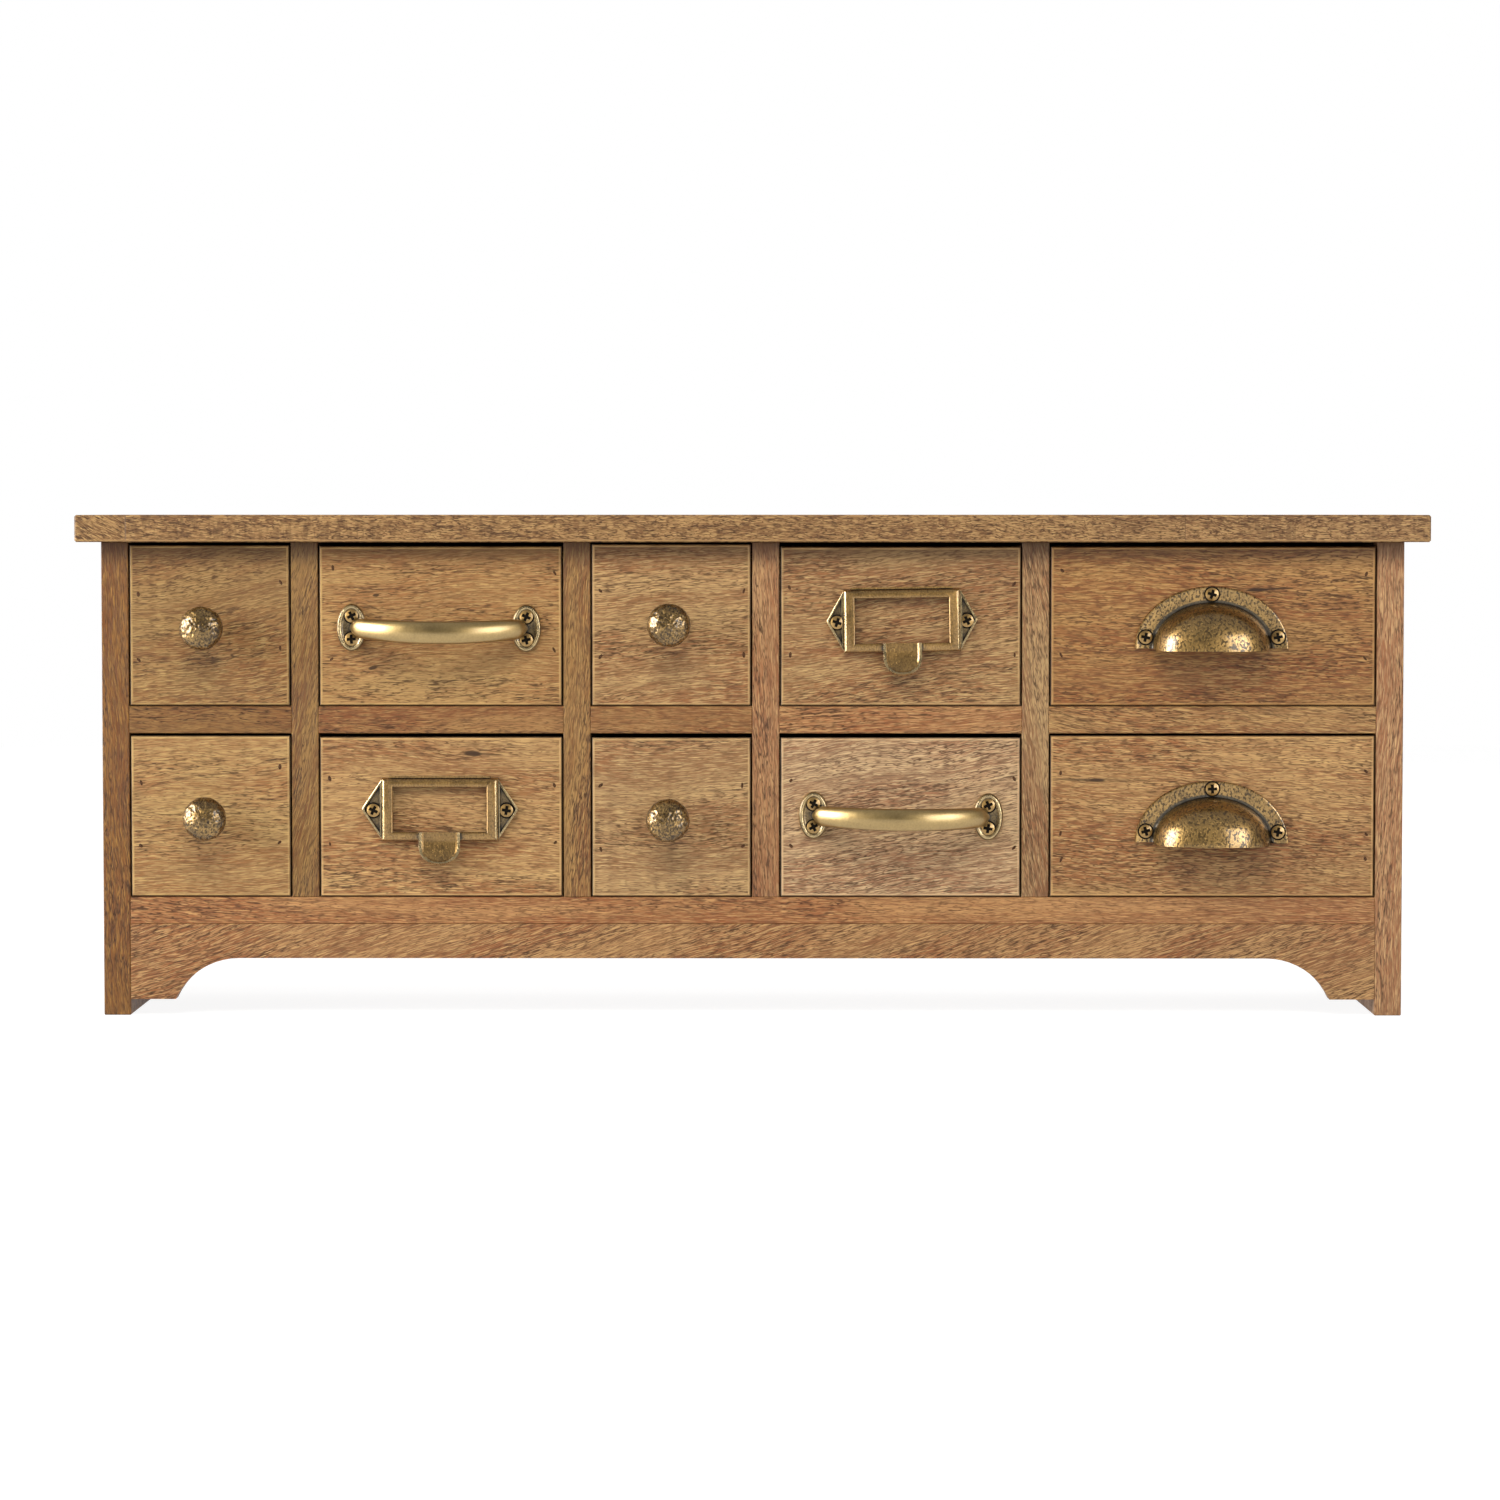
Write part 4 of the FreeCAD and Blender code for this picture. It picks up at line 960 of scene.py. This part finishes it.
def finger_tab(bm, wide):
    known = set(bm.verts)
    bmesh.ops.create_grid(bm, x_segments=24, y_segments=36, size=0.5)
    root, straight = -WINDOW_HIGH / 2, (FRAME_HIGH - WINDOW_HIGH) / 2 - 1
    length = TAB_CURL * math.asin((TAB_DROP - straight) / TAB_CURL)
    verts, _, faces = fresh(bm, known)
    for face in faces:
        middle = face.calc_center_median()
        # the rim of the tab gets the rubbed brass, partly wear and partly a painted highlight
        if tab_outline(middle.x, 0.5 - middle.y)[0] > 0.84:
            paint([face], EDGE)
    for vert in verts:
        across, down = vert.co.x, 0.5 - vert.co.y
        near, narrow = tab_outline(across, down)
        run = down * (straight + length)
        turn = max(0.0, run - straight) / TAB_CURL
        lip = TAB_LIP * min(1.0, max(0.0, (near - 0.72) / 0.10))
        z = root - min(run, straight) - TAB_CURL * math.sin(turn)
        vert.co = (across * wide * narrow, -FRAME_OUT - TAB_CURL * (1 - math.cos(turn)) - lip, z)
    bmesh.ops.remove_doubles(bm, verts=fresh(bm, known)[0], dist=1e-3)
    sheet = fresh(bm, known)[2]
    bmesh.ops.recalc_face_normals(bm, faces=sheet)
    bmesh.ops.solidify(bm, geom=sheet, thickness=TAB_THICK)


print("tab:", TAB_DROP, "mm below the window")

# %% [markdown]
# ## Card pulls, put together
# The two castings differ a little in their ears and tabs. A bevel modifier softens the edges that the
# operators left sharp.

# %% Card pulls
# length of an ear, distance between the screws, and width of the tab
CARDS = {"lower_drawer_2": (11.5, 79.0, 24.4), "upper_drawer_4": (9.8, 76.9, 22.6)}
for drawer in with_pull("card_pull"):
    bm = bmesh.new()
    ear, span, tab = CARDS[drawer]
    card_frame(bm)
    card_ear(bm, -1, ear)
    card_ear(bm, 1, ear)
    finger_tab(bm, tab)
    pull = fit(bm, drawer, "_card_frame", "_card_pull", "antique_brass", METAL["frame"], METAL["rubbed"],
               METAL["foot"])
    rounded = pull.modifiers.new("soft edges", "BEVEL")
    rounded.width, rounded.segments, rounded.limit_method = 0.3 * MM, 2, "ANGLE"
    rounded.angle_limit = math.radians(40)
    fit_screws(drawer, [(-span / 2, -0.6), (span / 2, -0.6)], 2.2)
print("pulls made:", len(PULLS))

# %% [markdown]
# ## Nail heads
# The fronts are nailed to the drawer sides. The heads were set below the surface and filled, so each shows as
# a small dark oval near the end. They are thin discs on the face, a little squashed and turned.

# %% Nail heads
NAILS = [
    # a row for each front in turn: mm from the left end, mm above the front's foot
    [(5, 66), (5, 27), (89.5, 73), (89, 34)],
    [(8, 81.5), (7, 27.5), (139.5, 78.5), (139, 33)],
    [(5, 68), (5, 29), (90, 68), (90, 30)],
    [(5, 70), (5.5, 30), (138, 72), (138.5, 30)],
    [(6.5, 80), (186.5, 78), (186, 28), (6, 30)],
    [(6, 67.5), (5.5, 30), (88.5, 77), (88, 32)],
    [(5.5, 70), (5.5, 31), (139, 66), (139.5, 32)],
    [(5, 66), (5, 28), (89, 66), (89.5, 30)],
    [(6, 69), (6, 30), (138.5, 70), (138.5, 29)],
    [(6, 73.5), (6, 37.5), (6.5, 22), (187, 74.5), (187.5, 37), (187, 22.5)],
]
HEAD_STACK, HEAD_RING = [(1.0, 0.2), (1.0, -0.02), (0.7, -0.10)], 14      # share of its size, and depth
nail_filler = dirt("nail_filler", 1800.0, 0.15, (0.030, 0.013, 0.006, 1.0), (0.12, 0.055, 0.025, 1.0),
                   (0.55, 0.8), 0.15)

for drawer, spots in zip(FRONTS, NAILS):
    low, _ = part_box(drawer + "_front")
    dice = random.Random(drawer + " nails")
    bm = bmesh.new()
    for x, z in spots:
        turn = Matrix.Rotation(dice.uniform(-0.9, 0.9), 4, "Y")
        wide, tall = dice.uniform(0.65, 1.0), dice.uniform(1.2, 1.8)
        rings(bm, [oval_ring(bm, wide * share, tall * share, at(x, y, z) @ turn, sides=HEAD_RING)
                   for share, y in HEAD_STACK])
    fit(bm, drawer, "_filled_nails", None, "drawer_front_wood", nail_filler, smooth=0,
        spot=(Vector((low.x, low.y, low.z)), 0.0))
print("nails:", sum(map(len, NAILS)))

# %% [markdown]
# ## Floor and backdrop
# The set is white paper. To the camera and in the metal it shows as white, and to the lamps it is plain pale
# paper, so that it adds no glare to the cabinet. The floor keeps some of the lamps' shading for the shadow.

# %% Floor and backdrop
GLOW = {"floor": 1.40, "backdrop": 1.0}
SHADED = {"floor": 0.35, "backdrop": 0.0}      # how much of the lamps' shading the camera sees
SET_SIZE = 12.0


def paper(name):
    shader = Shader(name)
    fibres = shader.noise(shader.place(), (60.0, 60.0, 60.0))
    colour = shader.mix(fibres, (0.58, 0.58, 0.58, 1.0), (0.62, 0.62, 0.62, 1.0))
    lit = shader.node("BsdfDiffuse", None, {"Color": colour})
    white = shader.node("Emission", None, {"Color": (1, 1, 1, 1), "Strength": GLOW[name]})
    camera_ray, glossy_ray, through_ray = (
        shader.node("LightPath", output=kind) for kind in ("Is Camera Ray", "Is Glossy Ray",
                                                            "Is Transmission Ray"))
    seen = camera_ray.math("MAXIMUM", glossy_ray).math("MAXIMUM", through_ray)
    both = shader.node("MixShader", None, {0: seen * (1 - SHADED[name]), 1: lit, 2: white})
    shader.node("OutputMaterial", None, {"Surface": both})
    return shader.material


def sheet_of_paper(name, matrix):
    bm = bmesh.new()
    bmesh.ops.create_grid(bm, x_segments=1, y_segments=1, size=SET_SIZE / 2)
    bmesh.ops.transform(bm, matrix=matrix, verts=bm.verts)
    as_object(bm, name, paper(name))


sheet_of_paper("floor", at(0, 0, -0.0002))
sheet_of_paper("backdrop", at(0, 3.0, 0) @ Matrix.Rotation(math.pi / 2, 4, "X"))
print("paper:", list(GLOW))

# %% [markdown]
# ## Light
# A soft lamp stands to the left, a weaker one to the right, and one hangs above the front, which shades the
# wood under the top board and each pull. One behind is for the other sides. Two cards that only the metal
# sees give each curved pull its two highlights. The world is a pale room, lighter above.

# %% Lamps and world
LAMP_AIM, LAMP_DISTANCE = Vector((0.0, -0.07, 0.18)), 2.2
LAMPS = [
    # name, degrees right of the camera's side, degrees up, width, height, watts, lights wood, shows in metal
    ("left_softbox", -67, 14, 1.1, 1.1, 32.0, True, True),
    ("right_softbox", 54, 14, 0.7, 0.9, 7.0, True, True),
    ("top_softbox", -8, 50, 1.5, 0.8, 32.0, True, False),
    ("back_softbox", 160, 35, 1.5, 1.0, 24.0, True, False),
    ("left_card", -80, 8, 1.8, 1.5, 84.0, False, True),
    ("right_card", 41, 8, 1.1, 1.2, 22.0, False, True),
]
for name, turn, rise, wide, high, watts, on_wood, in_metal in LAMPS:
    lamp = bpy.data.lights.new(name, "AREA")
    lamp.shape, lamp.size, lamp.size_y, lamp.energy = "RECTANGLE", wide, high, watts
    rig = bpy.data.objects.new(name, lamp)
    rig.visible_diffuse, rig.visible_glossy = on_wood, in_metal
    turn, rise = math.radians(turn), math.radians(rise)
    way = Vector((math.sin(turn) * math.cos(rise), -math.cos(turn) * math.cos(rise), math.sin(rise)))
    rig.location = LAMP_AIM + way * LAMP_DISTANCE
    rig.rotation_euler = (-way).to_track_quat("-Z", "Y").to_euler()
    bpy.context.collection.objects.link(rig)

world = bpy.data.worlds.new("studio")
world.use_nodes = True
nodes, links = world.node_tree.nodes, world.node_tree.links
way, height, glow = (nodes.new("ShaderNode" + kind) for kind in ("TexCoord", "SeparateXYZ", "MapRange"))
for socket, level in (("From Min", -0.1), ("From Max", 0.8), ("To Min", 0.05), ("To Max", 0.46)):
    glow.inputs[socket].default_value = level
links.new(way.outputs["Generated"], height.inputs[0])
links.new(height.outputs["Z"], glow.inputs["Value"])
links.new(glow.outputs[0], nodes["Background"].inputs["Strength"])
nodes["Background"].inputs["Color"].default_value = (1.0, 1.0, 1.0, 1.0)
bpy.context.scene.world = world
bpy.context.scene.view_settings.view_transform = "Standard"
print("lamps:", len(LAMPS))

# %% [markdown]
# ## Sizes
# The view layer is brought up to date, so that every piece stands in its final place. The finer pieces
# must stay inside the box of the packed model.

# %% Sizes
bpy.context.view_layer.update()
